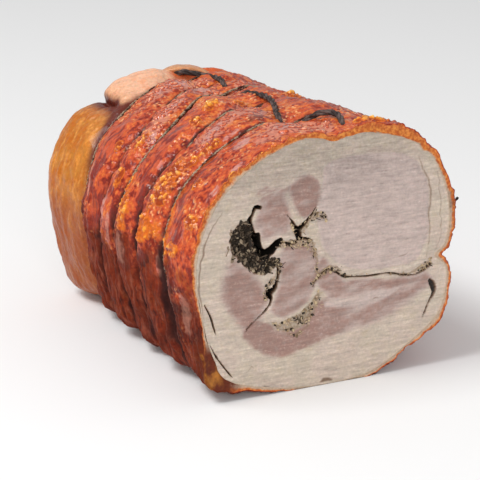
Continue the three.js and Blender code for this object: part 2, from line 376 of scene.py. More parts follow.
def line_field(x, z, line):
    """For points of the cut face, how far inside a line of varying half width they lie."""
    path = catmull(MM * np.array(line, float), 5, False)
    best = np.full(x.shape, -1.0)
    for (ax, az, aw), (bx, bz, bw) in zip(path, path[1:]):
        along = np.array((bx - ax, bz - az))
        reach = max(along @ along, 1e-12)
        part = np.clip(((x - ax) * along[0] + (z - az) * along[1]) / reach, 0, 1)
        away = np.hypot(x - ax - part * along[0], z - az - part * along[1])
        best = np.maximum(best, mix(aw, bw, part) - away)
    return best


def lines_field(x, z, lines):
    return np.max([line_field(x, z, line) for line in lines], axis=0)


def area_field(x, z, outline):
    """For points of the cut face, their distance inside a closed smooth outline."""
    path = catmull(outline, 5, True)
    nearest = np.full(x.shape, 1.0)
    inside = np.zeros(x.shape, bool)
    for (ax, az), (bx, bz) in zip(path, np.roll(path, -1, axis=0)):
        along = np.array((bx - ax, bz - az))
        part = np.clip(((x - ax) * along[0] + (z - az) * along[1]) / max(along @ along, 1e-12), 0, 1)
        nearest = np.minimum(nearest, np.hypot(x - ax - part * along[0], z - az - part * along[1]))
        crosses = (az > z) != (bz > z)
        level = np.where(crosses, (bx - ax) * (z - az) / np.where(crosses, bz - az, 1) + ax, 0)
        inside ^= crosses & (x < level)
    return np.where(inside, nearest, -nearest)


OUTLINE_CURVE = catmull(OUTLINE, 60, True) - (0, AXIS_HEIGHT)
OUTLINE_ANGLE = np.arctan2(OUTLINE_CURVE[:, 1], OUTLINE_CURVE[:, 0]) % TURN
OUTLINE_REACH = np.hypot(*OUTLINE_CURVE.T)
OUTLINE_ORDER = np.argsort(OUTLINE_ANGLE)


def outline_reach(angle):
    """From the roll's axis to the cut face's outline."""
    return np.interp(angle, OUTLINE_ANGLE[OUTLINE_ORDER], OUTLINE_REACH[OUTLINE_ORDER], period=TURN)


def loop_place(loop, angle):
    """Where a loop of twine lies along Y at an angle: a smooth closed curve through its five crossings."""
    knots = np.concatenate([LOOP_ANGLES - TURN, LOOP_ANGLES, LOOP_ANGLES + TURN])
    values = np.tile(LOOPS[loop], 3)
    slopes = np.gradient(values, knots)
    angle = np.asarray(angle) % TURN
    i = np.clip(np.searchsorted(knots, angle, side="right") - 1, 0, len(knots) - 2)
    width = knots[i + 1] - knots[i]
    t = (angle - knots[i]) / width
    place = ((2 * t ** 3 - 3 * t ** 2 + 1) * values[i] + (t ** 3 - 2 * t ** 2 + t) * width * slopes[i]
             + (3 * t ** 2 - 2 * t ** 3) * values[i + 1] + (t ** 3 - t ** 2) * width * slopes[i + 1])
    wobble = np.stack([30 * MM * np.cos(angle), 30 * MM * np.sin(angle), np.full_like(angle, loop)], axis=-1)
    return place + 1.3 * MM * noise(wobble, 9 * MM, SEED + 60)


def angle_bump(angle, middle, half):
    """1 at an angle in degrees, falling to 0 away from it."""
    away = (np.degrees(angle) - middle + 180) % 360 - 180
    return np.exp(-((away / half) ** 2))


# --- Meshes ---


def add_object(name, data):
    item = bpy.data.objects.new(name, data)
    bpy.context.scene.collection.objects.link(item)
    return item


def grid_faces(rows, columns, closed):
    """Quads of a grid that is closed round its columns, and over its rows if asked."""
    row = np.arange(rows if closed else rows - 1)[:, None]
    column = np.arange(columns)[None]
    beside = (column + 1) % columns
    below = (row + 1) % rows
    quads = [row * columns + column, row * columns + beside,
             below * columns + beside, below * columns + column]
    return np.stack(quads, axis=-1).reshape(-1, 4)


def pole_faces(row, columns, pole, flip):
    """Triangles from one row of a grid to a pole."""
    column = np.arange(columns)
    first = row * columns + column
    second = row * columns + (column + 1) % columns
    sides = (second, first) if flip else (first, second)
    return np.stack([*sides, np.full(columns, pole)], axis=-1)


def build_mesh(name, points, faces, fields):
    """An object from points, arrays of faces, and a number for each point under each field's name."""
    mesh = bpy.data.meshes.new(name)
    corners = np.concatenate([f.ravel() for f in faces])
    sizes = np.concatenate([np.full(len(f), f.shape[1]) for f in faces])
    starts = np.concatenate([[0], np.cumsum(sizes)[:-1]])
    mesh.vertices.add(len(points))
    mesh.vertices.foreach_set("co", points.astype(np.float32).ravel())
    mesh.loops.add(len(corners))
    mesh.loops.foreach_set("vertex_index", corners.astype(np.int32))
    mesh.polygons.add(len(sizes))
    mesh.polygons.foreach_set("loop_start", starts.astype(np.int32))
    mesh.update(calc_edges=True)
    mesh.validate()
    for field, values in fields.items():
        layer = mesh.attributes.new(field, "FLOAT", "POINT")
        layer.data.foreach_set("value", values.astype(np.float32).ravel())
    mesh.shade_smooth()
    piece = add_object(name, mesh)
    face_out(piece)
    return piece


def face_out(piece):
    """Turns the faces over if they enclose a negative volume."""
    mesh = piece.data
    mesh.calc_loop_triangles()
    corners = np.empty(3 * len(mesh.loop_triangles), np.int32)
    mesh.loop_triangles.foreach_get("vertices", corners)
    points = np.empty(3 * len(mesh.vertices), np.float32)
    mesh.vertices.foreach_get("co", points)
    a, b, c = points.reshape(-1, 3)[corners.reshape(-1, 3)].transpose(1, 0, 2)
    if np.sum(a * np.cross(b, c)) < 0:
        mesh.flip_normals()


def grid_normals(points, closed_rows):
    """Unit normals of a grid that is closed round its columns, pointing away from the roll's axis."""
    across = np.roll(points, -1, axis=1) - np.roll(points, 1, axis=1)
    if closed_rows:
        along = np.roll(points, -1, axis=0) - np.roll(points, 1, axis=0)
    else:
        along = np.gradient(points, axis=0)
    normals = np.cross(across, along)
    normals /= np.linalg.norm(normals, axis=-1, keepdims=True) + 1e-12
    outward = points - (0, 0, AXIS_HEIGHT)
    outward[..., 1] = 0
    return normals * np.where(np.sum(np.sum(normals * outward, axis=-1)) < 0, -1, 1)


# --- Shaders ---


class Value:
    """A socket that adds Math nodes when it is used in an expression."""

    def __init__(self, recipe, socket):
        self.recipe = recipe
        self.socket = socket

    def math(self, operation, first, second):
        sockets = {0: first, 1: second}
        node = self.recipe.node("ShaderNodeMath", {"operation": operation}, sockets)
        return Value(self.recipe, node.outputs[0])

    def __add__(self, other):
        return self.math("ADD", self, other)

    __radd__ = __add__

    def __mul__(self, other):
        return self.math("MULTIPLY", self, other)

    __rmul__ = __mul__

    def __sub__(self, other):
        return self.math("SUBTRACT", self, other)

    def __rsub__(self, other):
        return self.math("SUBTRACT", other, self)

    def step(self, low, high):
        """0 below low and 1 above high, smooth between."""
        settings = {"interpolation_type": "SMOOTHSTEP", "clamp": True}
        sockets = {"Value": self, "From Min": low, "From Max": high}
        node = self.recipe.node("ShaderNodeMapRange", settings, sockets)
        return Value(self.recipe, node.outputs["Result"])


class Tree:
    """A tree of nodes that is being built."""

    def node(self, kind, settings=None, sockets=None):
        """Adds one node, with its settings first and then its sockets' values or links."""
        node = self.tree.nodes.new(kind)
        for name, value in (settings or {}).items():
            setattr(node, name, value)
        for key, value in (sockets or {}).items():
            socket = node.inputs[key] if isinstance(key, int) else find_socket(node.inputs, key)
            source = value.socket if isinstance(value, Value) else value
            if isinstance(source, bpy.types.NodeSocket):
                self.tree.links.new(source, socket)
            elif socket.type == "RGBA":
                socket.default_value = (*source, 1)
            else:
                socket.default_value = source
        return node


class Recipe(Tree):
    """A material and the nodes that make it."""

    def __init__(self, name):
        self.material = bpy.data.materials.new(name)
        self.material.use_nodes = True
        self.tree = self.material.node_tree
        self.tree.nodes.clear()

    def field(self, name):
        node = self.node("ShaderNodeAttribute", {"attribute_name": name, "attribute_type": "GEOMETRY"})
        return Value(self, node.outputs["Fac"])

    def fields(self, *names):
        return [self.field(name) for name in names]

    def place(self, stretch=(1, 1, 1), turn=(0, 0, 0)):
        """Object coordinates, turned and stretched."""
        source = self.node("ShaderNodeTexCoord").outputs["Object"]
        sockets = {"Vector": source, "Scale": Vector(stretch), "Rotation": Vector(turn)}
        return self.node("ShaderNodeMapping", None, sockets).outputs["Vector"]

    def noise(self, size, detail=3, roughness=0.55, stretch=(1, 1, 1), turn=(0, 0, 0)):
        """Noise from 0 to 1 whose lumps are about size across."""
        sockets = {"Vector": self.place(stretch, turn), "Scale": 1 / size, "Detail": detail,
                   "Roughness": roughness}
        return Value(self, self.node("ShaderNodeTexNoise", None, sockets).outputs["Fac"])

    def blend(self, share, first, second):
        """One colour over another."""
        sockets = {"Factor_Float": share, "A_Color": first, "B_Color": second}
        return find_socket(self.node("ShaderNodeMix", {"data_type": "RGBA"}, sockets).outputs, "Result_Color")

    def layers(self, base, *coats):
        """A colour under others, each given as its share and its colour."""
        for share, tint in coats:
            base = self.blend(share, base, tint)
        return base

    def scaled(self, tint, amount):
        """A colour made brighter or darker by a value."""
        node = self.node("ShaderNodeVectorMath", {"operation": "SCALE"}, {0: tint, "Scale": amount})
        return node.outputs["Vector"]

    def finish(self, base, roughness, height=None, depth=0.001, **constants):
        """The surface: its colour, its roughness, its fine relief, and numbers that are the same all over."""
        sockets = {"Base Color": base, "Roughness": roughness, **constants}
        if height is not None:
            bump = self.node("ShaderNodeBump", None, {"Height": height, "Distance": depth, "Strength": 1.0})
            sockets["Normal"] = bump.outputs["Normal"]
        shader = self.node("ShaderNodeBsdfPrincipled", None, sockets)
        self.node("ShaderNodeOutputMaterial", None, {"Surface": shader.outputs["BSDF"]})
        return self.material


def find_socket(sockets, key):
    """A socket by its identifier, or by its name."""
    exact = [socket for socket in sockets if socket.identifier == key]
    return exact[0] if exact else next(socket for socket in sockets if socket.name == key)


# Places on the rind, each as its angle in degrees, its place along the bands, and its half sizes in both.
# A place of 2.3 is three tenths of the way from the second loop of twine to the third.
GOLD_PLACES = [
    (160, 2.9, 6, 0.2), (166, 2.6, 7, 0.22), (173, 2.5, 5, 0.26), (147, 1.42, 7, 0.26), (157, 1.42, 6, 0.26),
    (170, 1.5, 6, 0.36), (139, 1.22, 6, 0.08), (130, 1.18, 7, 0.07), (120, 2.3, 3, 0.14), (106, 2.4, 5, 0.14),
    (92, 2.2, 5, 0.12), (162, 0.9, 9, 0.08), (173, 0.8, 5, 0.18), (160, 0.25, 3, 0.12), (172, 0.5, 3, 0.18),
    (146, 0.55, 3, 0.08), (141, 3.42, 4, 0.1), (159, 3.35, 4, 0.12), (62, 2.2, 5, 0.14), (148, 4.2, 3, 0.08),
    (70, 0.15, 8, 0.08),
]

# Pale mauve patches: partly the rind's waxy colour, partly painted sheen.
WAXY_SHEEN_PLACES = [
    (120, 1.6, 7, 0.18), (126, 1.5, 6, 0.16), (137, 3.2, 4, 0.1), (117, 1.14, 6, 0.07), (121, 0.64, 6, 0.12),
    (146, 0.16, 5, 0.08), (132, 0.15, 5, 0.06), (117, 3.46, 9, 0.18), (186, 2.6, 7, 0.2), (102, 0.5, 7, 0.2),
    (95, 3.5, 9, 0.25), (92, 1.5, 7, 0.25), (100, 4.5, 12, 0.3), (184, 1.1, 6, 0.06), (172, 3.7, 12, 0.12),
    (176, 2.9, 12, 0.1), (166, 4.62, 9, 0.07), (190, 0.75, 10, 0.12), (196, 0.3, 9, 0.1), (183, 3.3, 9, 0.1),
]

BEAD_PLACES = [
    (121, 1.55, 14, 0.28), (115, 3.6, 20, 0.4), (98, 4.5, 28, 0.5), (100, 1.7, 14, 0.4), (95, 0.5, 26, 0.4),
    (131, 3.4, 10, 0.3), (85, 3.3, 16, 0.5),
]

SMOOTH_PLACES = [
    (134, 2.46, 12, 0.16), (146, 2.34, 10, 0.14), (156, 2.2, 8, 0.12), (134, 0.88, 15, 0.1),
    (148, 0.7, 9, 0.12), (150, 4.5, 14, 0.2), (176, 4.2, 9, 0.2), (122, 2.86, 12, 0.11),
    (165, 3.5, 8, 0.12), (166, 0.45, 6, 0.2),
]

DARK_PLACES = [
    (186, 0.5, 4, 0.3), (184, 1.7, 4, 0.4), (132, 2.1, 2.5, 0.05), (150, 1.2, 6, 0.07), (154, 2.06, 9, 0.08),
    (167, 2.06, 8, 0.12), (138, 0.1, 3, 0.06), (101, 1.24, 7, 0.12), (174, 4.8, 9, 0.12), (166, 4.5, 9, 0.1),
    (175, 3.1, 7, 0.12), (178, 2.04, 7, 0.08), (186, 1.02, 12, 0.16),
    (195, 0.55, 3, 0.3), (158, 4.78, 10, 0.08),
    (115, 1.03, 12, 0.05),
]


def spots(points, angle, place, places, seed):
    """1 in the middle of the places named, falling to 0 outside their ragged edges."""
    total = np.zeros(angle.shape)
    degrees = np.degrees(angle)
    for middle, level, wide, long in places:
        away = (degrees - middle + 180) % 360 - 180
        total = np.maximum(total, np.exp(-((away / wide) ** 2 + ((place - level) / long) ** 2) * 0.7))
    return smoothstep(0.3, 0.8, total + 0.42 * fractal(points, 8 * MM, seed, 3))


def rind_material(colours):
    recipe = Recipe("crackling")
    patch = recipe.noise(10 * MM, 3, 0.55)
    blotch = recipe.noise(3.4 * MM, 2, 0.5)
    fleck = recipe.noise(1.8 * MM, 1, 0.5)
    streak = recipe.noise(3 * MM, 3, 0.55, stretch=(0.25, 1, 0.25))
    crest, bead, speck, speckle = recipe.fields("crest", "bead", "speck", "speckle")
    gold, furrow, dark = recipe.fields("gold", "furrow", "dark")
    waxy, smooth, low, drip, cut, rim = recipe.fields("waxy", "smooth", "low", "drip", "cut", "rim")
    tone = patch * 0.8 + blotch * (1 - smooth) * 0.8 + streak * smooth * 0.6 + streak * 0.4 - dark * 0.14
    # Painted light: the top of the roll is made lighter.
    tone = tone + recipe.field("up") * 0.07
    base = recipe.blend(tone.step(0.83, 1.02), colours.maroon, colours.red)
    base = recipe.blend((tone - smooth * 0.08).step(1.0, 1.25), base, colours.orange)
    crisp = (blotch * 0.7 + fleck * 0.5).step(0.46, 0.8)
    toasted = recipe.blend(crisp, (0.54, 0.12, 0.025), (0.74, 0.27, 0.055))
    base = recipe.layers(
        base,
        (cut.step(0.2, 0.5), toasted),
        ((cut * 0.9 + rim * 0.6 + blotch * 0.6 - 0.3).step(0.85, 1.25) * cut.step(0.1, 0.4),
         (0.58, 0.43, 0.31)),
        # Pinkish spots over the beaded places: painted glints.
        ((speckle * (0.4 + blotch * 0.9)).step(0.35, 0.8) * 0.75, (0.64, 0.25, 0.17)),
        # Painted shade on the side that faces down: dark maroon and near black, with brown streaks.
        ((low * (0.6 + patch * 0.6)).step(0.3, 0.95) * 0.92, (0.15, 0.02, 0.006)),
        ((low * streak).step(0.5, 0.68) * 0.6, (0.29, 0.085, 0.05)),
        ((low * (1 - streak)).step(0.5, 0.68) * 0.8, (0.05, 0.01, 0.007)),
        ((dark * (streak * 0.9 + blotch * 0.8)).step(0.6, 1.1) * 0.8, (0.07, 0.013, 0.009)),
        # Pale mauve: the rind's waxy patches with a painted sheen on them.
        ((waxy * (streak + blotch)).step(0.7, 1.15) * (0.9 - low * 0.8), colours.mauve),
        ((speck * (1 - smooth) * (0.5 + fleck)).step(0.3, 0.7) * (1 - low * 0.6) * 0.75,
         (0.84, 0.29, 0.08)),
        # Pale tops of the small blisters: painted glints.
        ((speck * (fleck + patch)).step(0.78, 1.05) * (1 - low), (0.95, 0.50, 0.24)),
        # Beads are dark red at their foot and red higher up; their pale tops are painted glints.
        ((bead * (1 - gold)).step(0.02, 0.2) * 0.9, (0.30, 0.028, 0.012)),
        ((bead * (1 - gold)).step(0.3, 0.6), (0.68, 0.12, 0.03)),
        ((bead * (1 - gold) * (0.5 + fleck)).step(0.66, 0.95), (0.92, 0.42, 0.24)),
        ((gold * (0.5 + blotch)).step(0.25, 0.7), (0.68, 0.15, 0.012)),
        # Dark red between the puffs: painted shade in the hollows.
        ((gold * (1 - crest)).step(0.6, 1.0) * 0.85, (0.30, 0.03, 0.006)),
        ((crest * (0.5 + fleck)).step(0.2, 0.62), colours.gold),
        # Pale yellow tops of the puffs: painted highlights on the gold.
        ((crest * (0.3 + fleck + patch * 0.4)).step(0.68, 1.0) * 0.9, (0.98, 0.62, 0.2)),
        ((furrow * (0.6 + blotch)).step(0.35, 0.95), colours.furrow),
        # Painted shade: the furrows and dark places on the side that faces down go near black.
        ((low * (furrow + dark * 0.5)).step(0.25, 0.75) * 0.85, (0.03, 0.009, 0.008)),
        ((low * waxy * (0.2 + streak * 1.2)).step(0.2, 0.9) * 0.6, (0.36, 0.16, 0.11)),
        ((drip * (0.6 + blotch * 0.8)).step(0.2, 0.7), (0.13, 0.022, 0.007)),
        ((drip * (0.4 + patch * 1.2)).step(0.8, 1.15) * 0.8, (0.50, 0.19, 0.03)),
    )
    base = recipe.scaled(base, 0.62 + fleck * 0.6)
    rough = 0.3 + blotch * 0.2 + furrow * 0.25 + cut * 0.15 + low * 0.35
    coat = 0.2 + smooth * 0.45 + speck * 1.2 + bead * 1.2 + crest * 0.5 + waxy * 0.4
    coat = coat * (1 - low * 0.95) * (1 - cut * 0.5)
    return recipe.finish(base, rough, fleck * 0.6 + blotch * 0.4, 0.5 * MM,
                         **{"Coat Weight": coat, "Coat Roughness": 0.1, "Specular IOR Level": 0.12})


def make_flap():
    """A thin curled edge of skin that has lifted along the start of the seam."""
    path = catmull(FLAP, 10, False)
    count = len(path)
    along = np.linspace(0, 1, count)[:, None]
    sweep = np.linspace(0, TURN, 24, endpoint=False)[None]
    taper = np.sin(math.pi * (0.06 + 0.9 * along)) ** 0.5
    wide = 8 * MM * taper * np.cos(sweep)
    thick = 3.2 * MM * taper * np.sin(sweep)
    curl = 1.4 * MM * taper * (wide / (8 * MM)) ** 2
    side = np.gradient(path, axis=0)
    side = np.stack([-side[:, 1], side[:, 0], 0 * side[:, 0]], axis=-1)
    side /= np.linalg.norm(side, axis=1, keepdims=True)
    grid = path[:, None] + side[:, None] * wide[..., None]
    grid[..., 2] += thick + curl
    grid += 0.5 * MM * fractal(grid, 5 * MM, SEED + 35)[..., None]
    ends = np.array([grid[0].mean(axis=0), grid[-1].mean(axis=0)])
    faces = [grid_faces(count, 24, False), pole_faces(0, 24, count * 24, True),
             pole_faces(count - 1, 24, count * 24 + 1, False)]
    flat = np.concatenate([grid.reshape(-1, 3), ends])
    edge = np.concatenate([np.abs(np.cos(sweep) * np.ones_like(along)).ravel() ** 6, [1, 1]])
    fields = {"dark": 0.35 * edge, "pale": np.ones(len(flat)) * 0.55, "low": np.zeros(len(flat)),
              "ember": np.zeros(len(flat))}
    return build_mesh("lifted_skin", flat, faces, fields)


def end_material():
    """The uncut end: fat roasted to a translucent gold, with soft streaks, and painted shade on its lower
    part.
    """
    recipe = Recipe("golden_end")
    streak = recipe.noise(4.5 * MM, 3, 0.5, stretch=(0.6, 1, 0.3))
    cloud = recipe.noise(14 * MM, 3)
    fine = recipe.noise(2.5 * MM, 2)
    dark, pale, low, ember = recipe.fields("dark", "pale", "low", "ember")
    base = recipe.blend(cloud.step(0.38, 0.62), (0.46, 0.12, 0.003), (0.48, 0.17, 0.02))
    base = recipe.layers(
        base,
        ((cloud * 0.6 + streak * 0.6).step(0.62, 0.76) * 0.5, (0.72, 0.2, 0.004)),
        # Painted shade: the lower part of the end is darker.
        ((low * (0.6 + cloud * 0.7)).step(0.1, 0.9) * 0.9, (0.30, 0.055, 0.006)),
        ((streak * 0.8 + fine * 0.3).step(0.5, 0.88) * (1 - low * 0.7) * 0.6, (0.80, 0.42, 0.11)),
        ((pale * (0.7 + fine * 0.5)).step(0.2, 0.95), (0.80, 0.45, 0.29)),
        ((ember * (0.6 + streak * 0.8)).step(0.2, 0.7), (0.60, 0.11, 0.03)),
        ((ember * (fine + cloud * 0.6)).step(0.7, 1.0) * 0.8, (0.80, 0.30, 0.12)),
        ((pale * (streak + fine * 0.5)).step(0.75, 0.95) * 0.6, (0.78, 0.3, 0.14)),
        ((dark * (0.6 + streak * 0.8)).step(0.2, 0.8), (0.12, 0.016, 0.006)),
    )
    base = recipe.scaled(base, 0.75 + fine * 0.5)
    return recipe.finish(base, 0.36 + fine * 0.15, fine * 0.5 + streak * 0.5, 0.9 * MM,
                         **{"Subsurface Weight": 0.1, "Subsurface Scale": 0.004, "Coat Weight": 0.25,
                            "Coat Roughness": 0.12, "Specular IOR Level": 0.2})


def meat_material(colours):
    recipe = Recipe("cut_meat")
    tilt = (0, math.radians(-9), 0)
    knife = recipe.noise(2 * MM, 2, 0.55, stretch=(0.16, 1, 1), turn=tilt)
    hair = recipe.noise(1.1 * MM, 2, 0.6, stretch=(0.07, 1, 1), turn=(0, math.radians(-11), 0))
    broad = recipe.noise(7 * MM, 3, 0.6, stretch=(0.35, 1, 1), turn=tilt)
    cloud = recipe.noise(16 * MM, 4, 0.6)
    mottle = recipe.noise(4 * MM, 3, 0.6)
    grain = recipe.noise(1.9 * MM, 2, 0.6)
    lean, rosy, stain, tan, top, seared = recipe.fields("lean", "rosy", "stain", "tan", "top", "seared")
    base = recipe.blend(cloud.step(0.35, 0.65), colours.fat, (0.55, 0.46, 0.37))
    base = recipe.layers(
        base,
        ((mottle * 0.7 + broad * 0.5).step(0.6, 0.76) * 0.45, (0.43, 0.34, 0.24)),
        ((grain * 0.7 + knife * 0.6).step(0.66, 0.9) * 0.35, (0.66, 0.57, 0.48)),
        ((lean * (0.5 + cloud * 0.5 + mottle * 0.5)).step(0.15, 0.95), colours.lean),
        ((rosy * (0.1 + mottle * 1.0 + cloud * 0.8)).step(0.1, 1.15), colours.rosy),
        ((rosy * (broad * 0.8 + mottle * 0.6)).step(0.62, 0.9) * 0.5, (0.30, 0.17, 0.14)),
        ((rosy * (grain + knife * 0.6)).step(0.82, 1.1) * 0.3, (0.58, 0.44, 0.38)),
        ((lean * (1 - rosy) * (hair + grain * 0.5)).step(0.82, 0.98) * 0.55, (0.74, 0.65, 0.60)),
        ((lean * (1 - rosy) * (1.5 - hair - grain * 0.5)).step(0.82, 1.0) * 0.5, (0.36, 0.27, 0.22)),
    )
    # The brightness varies with knife streaks, grain and mottle, and the top of the face gets painted shade.
    streaks_and_top_shade = knife * 0.6 + hair * 0.4 + broad * 0.3 + grain * 0.4 + mottle * 0.4 - 0.05 - top * 0.24
    base = recipe.scaled(base, streaks_and_top_shade)
    base = recipe.layers(
        base,
        ((tan * (0.3 + grain * 1.4)).step(0.25, 0.8) * 0.8, (0.26, 0.17, 0.09)),
        ((tan * (mottle + grain)).step(0.6, 0.85) * 0.8, (0.07, 0.045, 0.025)),
        (seared, (0.50, 0.30, 0.16)),
        # Brown stains and herb edges, then near black: painted shade in the hollow and the crevices, which
        # also darkens the cracks.
        ((stain * (0.8 + grain * 0.4)).step(0.05, 0.6), (0.16, 0.085, 0.045)),
        ((stain * (0.75 + grain * 0.5)).step(0.45, 0.85), (0.010, 0.007, 0.005)),
    )
    height = knife * 0.5 + hair * 0.3 + grain * 0.5 + mottle * 0.4
    return recipe.finish(base, 0.48 - lean * 0.08 + knife * 0.1, height, 0.6 * MM,
                         **{"Subsurface Weight": 0.06, "Subsurface Scale": 0.003, "Specular IOR Level": 0.4})


def crumb_material(name, dark, brown, tan, pale, shift):
    """Crumbs of four colours, by their grain field, moved up or down that scale by shift."""
    recipe = Recipe(name)
    grain = recipe.field("grain") + shift
    fine = recipe.noise(0.8 * MM, 3)
    base = recipe.blend(grain.step(0.42, 0.5), dark, brown)
    base = recipe.layers(
        base,
        (grain.step(0.62, 0.7), tan),
        (grain.step(0.84, 0.9), pale),
    )
    base = recipe.scaled(base, 0.6 + fine * 0.8)
    return recipe.finish(base, 0.7, fine, 0.3 * MM, **{"Specular IOR Level": 0.35})


def twine_material(name, clean, soaked, share):
    """Cord of a clean colour, soaked dark over the share of its length given."""
    recipe = Recipe(name)
    fibre = recipe.noise(0.5 * MM, 3, 0.7)
    soak = recipe.noise(6 * MM, 2)
    base = recipe.blend((soak + share).step(0.88, 1.06), clean, soaked)
    base = recipe.scaled(base, 0.5 + fibre)
    return recipe.finish(base, 0.8, fibre, 0.3 * MM, **{"Specular IOR Level": 0.3})


# --- The rind ---


def base_skin(angle, y, relief):
    """Points of the rind from their angle, place along Y and how far they stand off the plain roll."""
    shape = bpy.context.scene.roast_shape
    reach = outline_reach(angle) + relief
    up = np.sin(angle)
    drop = shape.top_drop * np.sqrt(np.clip((y - FACE_Y) / LENGTH, 0, 1)) * np.clip(up, 0, 1) ** 2
    reach = reach - shape.shoulder_drop * smoothstep(-75 * MM, 35 * MM, y) * angle_bump(angle, SHOULDER, 22)
    z = AXIS_HEIGHT + up * reach - drop
    return np.stack([np.cos(angle) * reach, y, z], axis=-1)


def band_relief(angle, t, band):
    """How far a band of rind stands off the plain roll, from its front edge at 0 to its back edge at 1."""
    shape = bpy.context.scene.roast_shape
    swell = shape.swell * (1 - np.clip(np.sin(angle), 0, 1))
    if band == 0:
        drip = 2.5 * MM * angle_bump(angle, DRIP, 9) * np.exp(-((t / 0.4) ** 2))
        return 0.9 * swell * np.sin(math.pi * t) - shape.furrow * t ** 7 + drip
    return (shape.furrow + swell) * np.sin(math.pi * t) ** 0.42 - shape.furrow


def notch(angle):
    """The groove on the right where the two edges of the skin meet, and a small nick above it."""
    groove = -9 * MM * angle_bump(angle, NOTCH, 3.4) - 2.5 * MM * angle_bump(angle, NOTCH + 3, 8)
    return groove - 2 * MM * angle_bump(angle, NICK, 1.8)


def rind_marks(points, angle, t, band):
    """What the rind is like at each point: fields from 0 to 1 for the relief and the colours, among them
    painted shade underneath, painted light on top and painted sheen.
    """
    place = band + t
    up = np.sin(angle)
    seen = smoothstep(0.2, 0.7, angle_bump(angle, SEEN_SIDE, 80))
    under = smoothstep(0.1, 0.55, -up)
    edge = np.minimum(t if band else np.ones_like(t), 1 - t)
    wide = 0.07 + 0.04 * angle_bump(angle, 160, 30) + 0.06 * angle_bump(angle, 205, 25)
    furrow = np.exp(-((edge / wide) ** 2)) * (0.75 + 0.35 * noise(points, 6 * MM, SEED + 2))
    cloud = fractal(points, 24 * MM, SEED + 1)
    beside = np.min([np.linalg.norm(points - spot, axis=-1) for spot in SEAM_LINE], axis=0)
    clear = smoothstep(5 * MM, 10 * MM, beside)
    gold = spots(points, angle, place, GOLD_PLACES, SEED + 6)
    hidden_gold = (1 - seen) * (1 - 0.8 * under) * smoothstep(0.25, 0.6, cloud) * (1 - (up > 0.5) * 0.7)
    gold = np.maximum(gold, hidden_gold)
    gold = gold * clear
    waxy = spots(points, angle, place, WAXY_SHEEN_PLACES, SEED + 7)
    waxy = np.maximum(waxy, (1 - seen) * smoothstep(0.15, 0.5, -cloud) * (1 - under)) * (1 - gold)
    bead = np.maximum(spots(points, angle, place, BEAD_PLACES, SEED + 8), 0.6 * (1 - seen)) * clear
    smooth = spots(points, angle, place, SMOOTH_PLACES, SEED + 11)
    dark = spots(points, angle, place, DARK_PLACES, SEED + 12)
    ragged = np.degrees(angle) + 14 * fractal(points, 15 * MM, SEED + 16)
    # low: painted shade on the side that faces down; it also raises the dark field there.
    low = smoothstep(*UNDERSIDE_SHADE_FROM, ragged) * (1 - smoothstep(*UNDERSIDE_SHADE_TO, ragged))
    dark = np.clip(np.maximum(dark, low * (0.6 + 0.8 * cloud)), 0, 1)
    drip = np.zeros_like(t)
    if band == 0:
        dark = np.maximum(dark, 0.8 * angle_bump(angle, 18, 24) * (1 - smoothstep(0.1, 0.5, t)))
        crust = np.exp(-((t / 0.05) ** 2)) * angle_bump(angle, 138, 40)
        gold = np.clip(np.maximum(gold, crust * (0.8 + 0.8 * fractal(points, 5 * MM, SEED + 14))), 0, 1)
        drip = angle_bump(angle, DRIP - 2, 13) * np.exp(-((t / 0.32) ** 2))
    return {
        "gold": gold * (1 - furrow) * (1 - 0.7 * low), "waxy": waxy * (1 - 0.6 * furrow),
        "speckle": bead * (1 - 0.8 * low),
        "smooth": smooth, "dark": dark, "furrow": np.clip(furrow, 0, 1), "low": low, "drip": drip,
        # up: where the painted light on the top of the roll falls.
        "up": smoothstep(0.8, 1, up),
    }


def rind_texture(points, t, marks):
    """The rind's relief over its base, and where its puffs, beads and specks are."""
    shape = bpy.context.scene.roast_shape
    around = np.stack([points[..., 0], 0.22 * points[..., 1], points[..., 2]], axis=-1)
    along = np.stack([0.2 * points[..., 0], points[..., 1], 0.2 * points[..., 2]], axis=-1)
    lumps = 1.5 * MM * fractal(points, 30 * MM, SEED + 3, 2)
    lumps = lumps + 1.5 * MM * fractal(points, 10 * MM, SEED + 5, 3)
    pucker = 0.9 * MM * noise(around, 5 * MM, SEED + 13) * np.exp(-((np.minimum(t, 1 - t) / 0.25) ** 2))
    folds = (0.5 + 2.2 * marks["low"]) * MM * fractal(along, 6 * MM, SEED + 17, 3)
    jitter = np.stack([noise(points, 3 * MM, SEED + 18 + axis) for axis in range(3)], axis=-1)
    warped = points + 1.2 * MM * jitter
    big, _ = bubbles(warped, shape.puff, SEED + 21)
    middle, kind = bubbles(warped, 0.58 * shape.puff, SEED + 31)
    small, fine = bubbles(points, 0.36 * shape.puff, SEED + 41)
    calm = np.clip(1 - 0.9 * marks["smooth"], 0, 1) * (1 - 0.6 * marks["furrow"])
    crowd = smoothstep(-0.25, 0.35, fractal(points, 13 * MM, SEED + 51, 2))
    beads = middle * calm * marks["speckle"] * (kind > 0.3)
    specks = small * calm * (fine > 0.42) * np.clip(0.25 + crowd, 0, 1) * (1 - 0.5 * marks["low"])
    craggy = marks["gold"] * (0.5 * big + 0.75 * middle + 0.45 * small)
    height = marks["gold"] * 0.8 * MM + 2.0 * MM * craggy + 1.25 * MM * beads + 0.8 * MM * specks
    crest = np.clip(craggy - 0.2, 0, 1)
    return lumps + pucker + folds + height, {"crest": crest, "bead": beads, "speck": specks}


def rind_depth(angle):
    """The rind's thickness at the cut: thick at the upper right and lower left, thin underneath."""
    shape = bpy.context.scene.roast_shape
    share = 0.72 + 0.75 * angle_bump(angle, 62, 24) + 0.5 * angle_bump(angle, 222, 12)
    return shape.rind * (share - 0.35 * angle_bump(angle, 278, 38) - 0.12 * angle_bump(angle, 170, 30))


def grid_size(length):
    """How many points a length of rind takes."""
    grain = bpy.context.scene.roast_shape.grain * 1
    return max(4, round(length / grain))


def keep_up(points):
    """Points no lower than the surface that the roll lies on."""
    points[..., 2] = np.maximum(points[..., 2], 0)
    return points


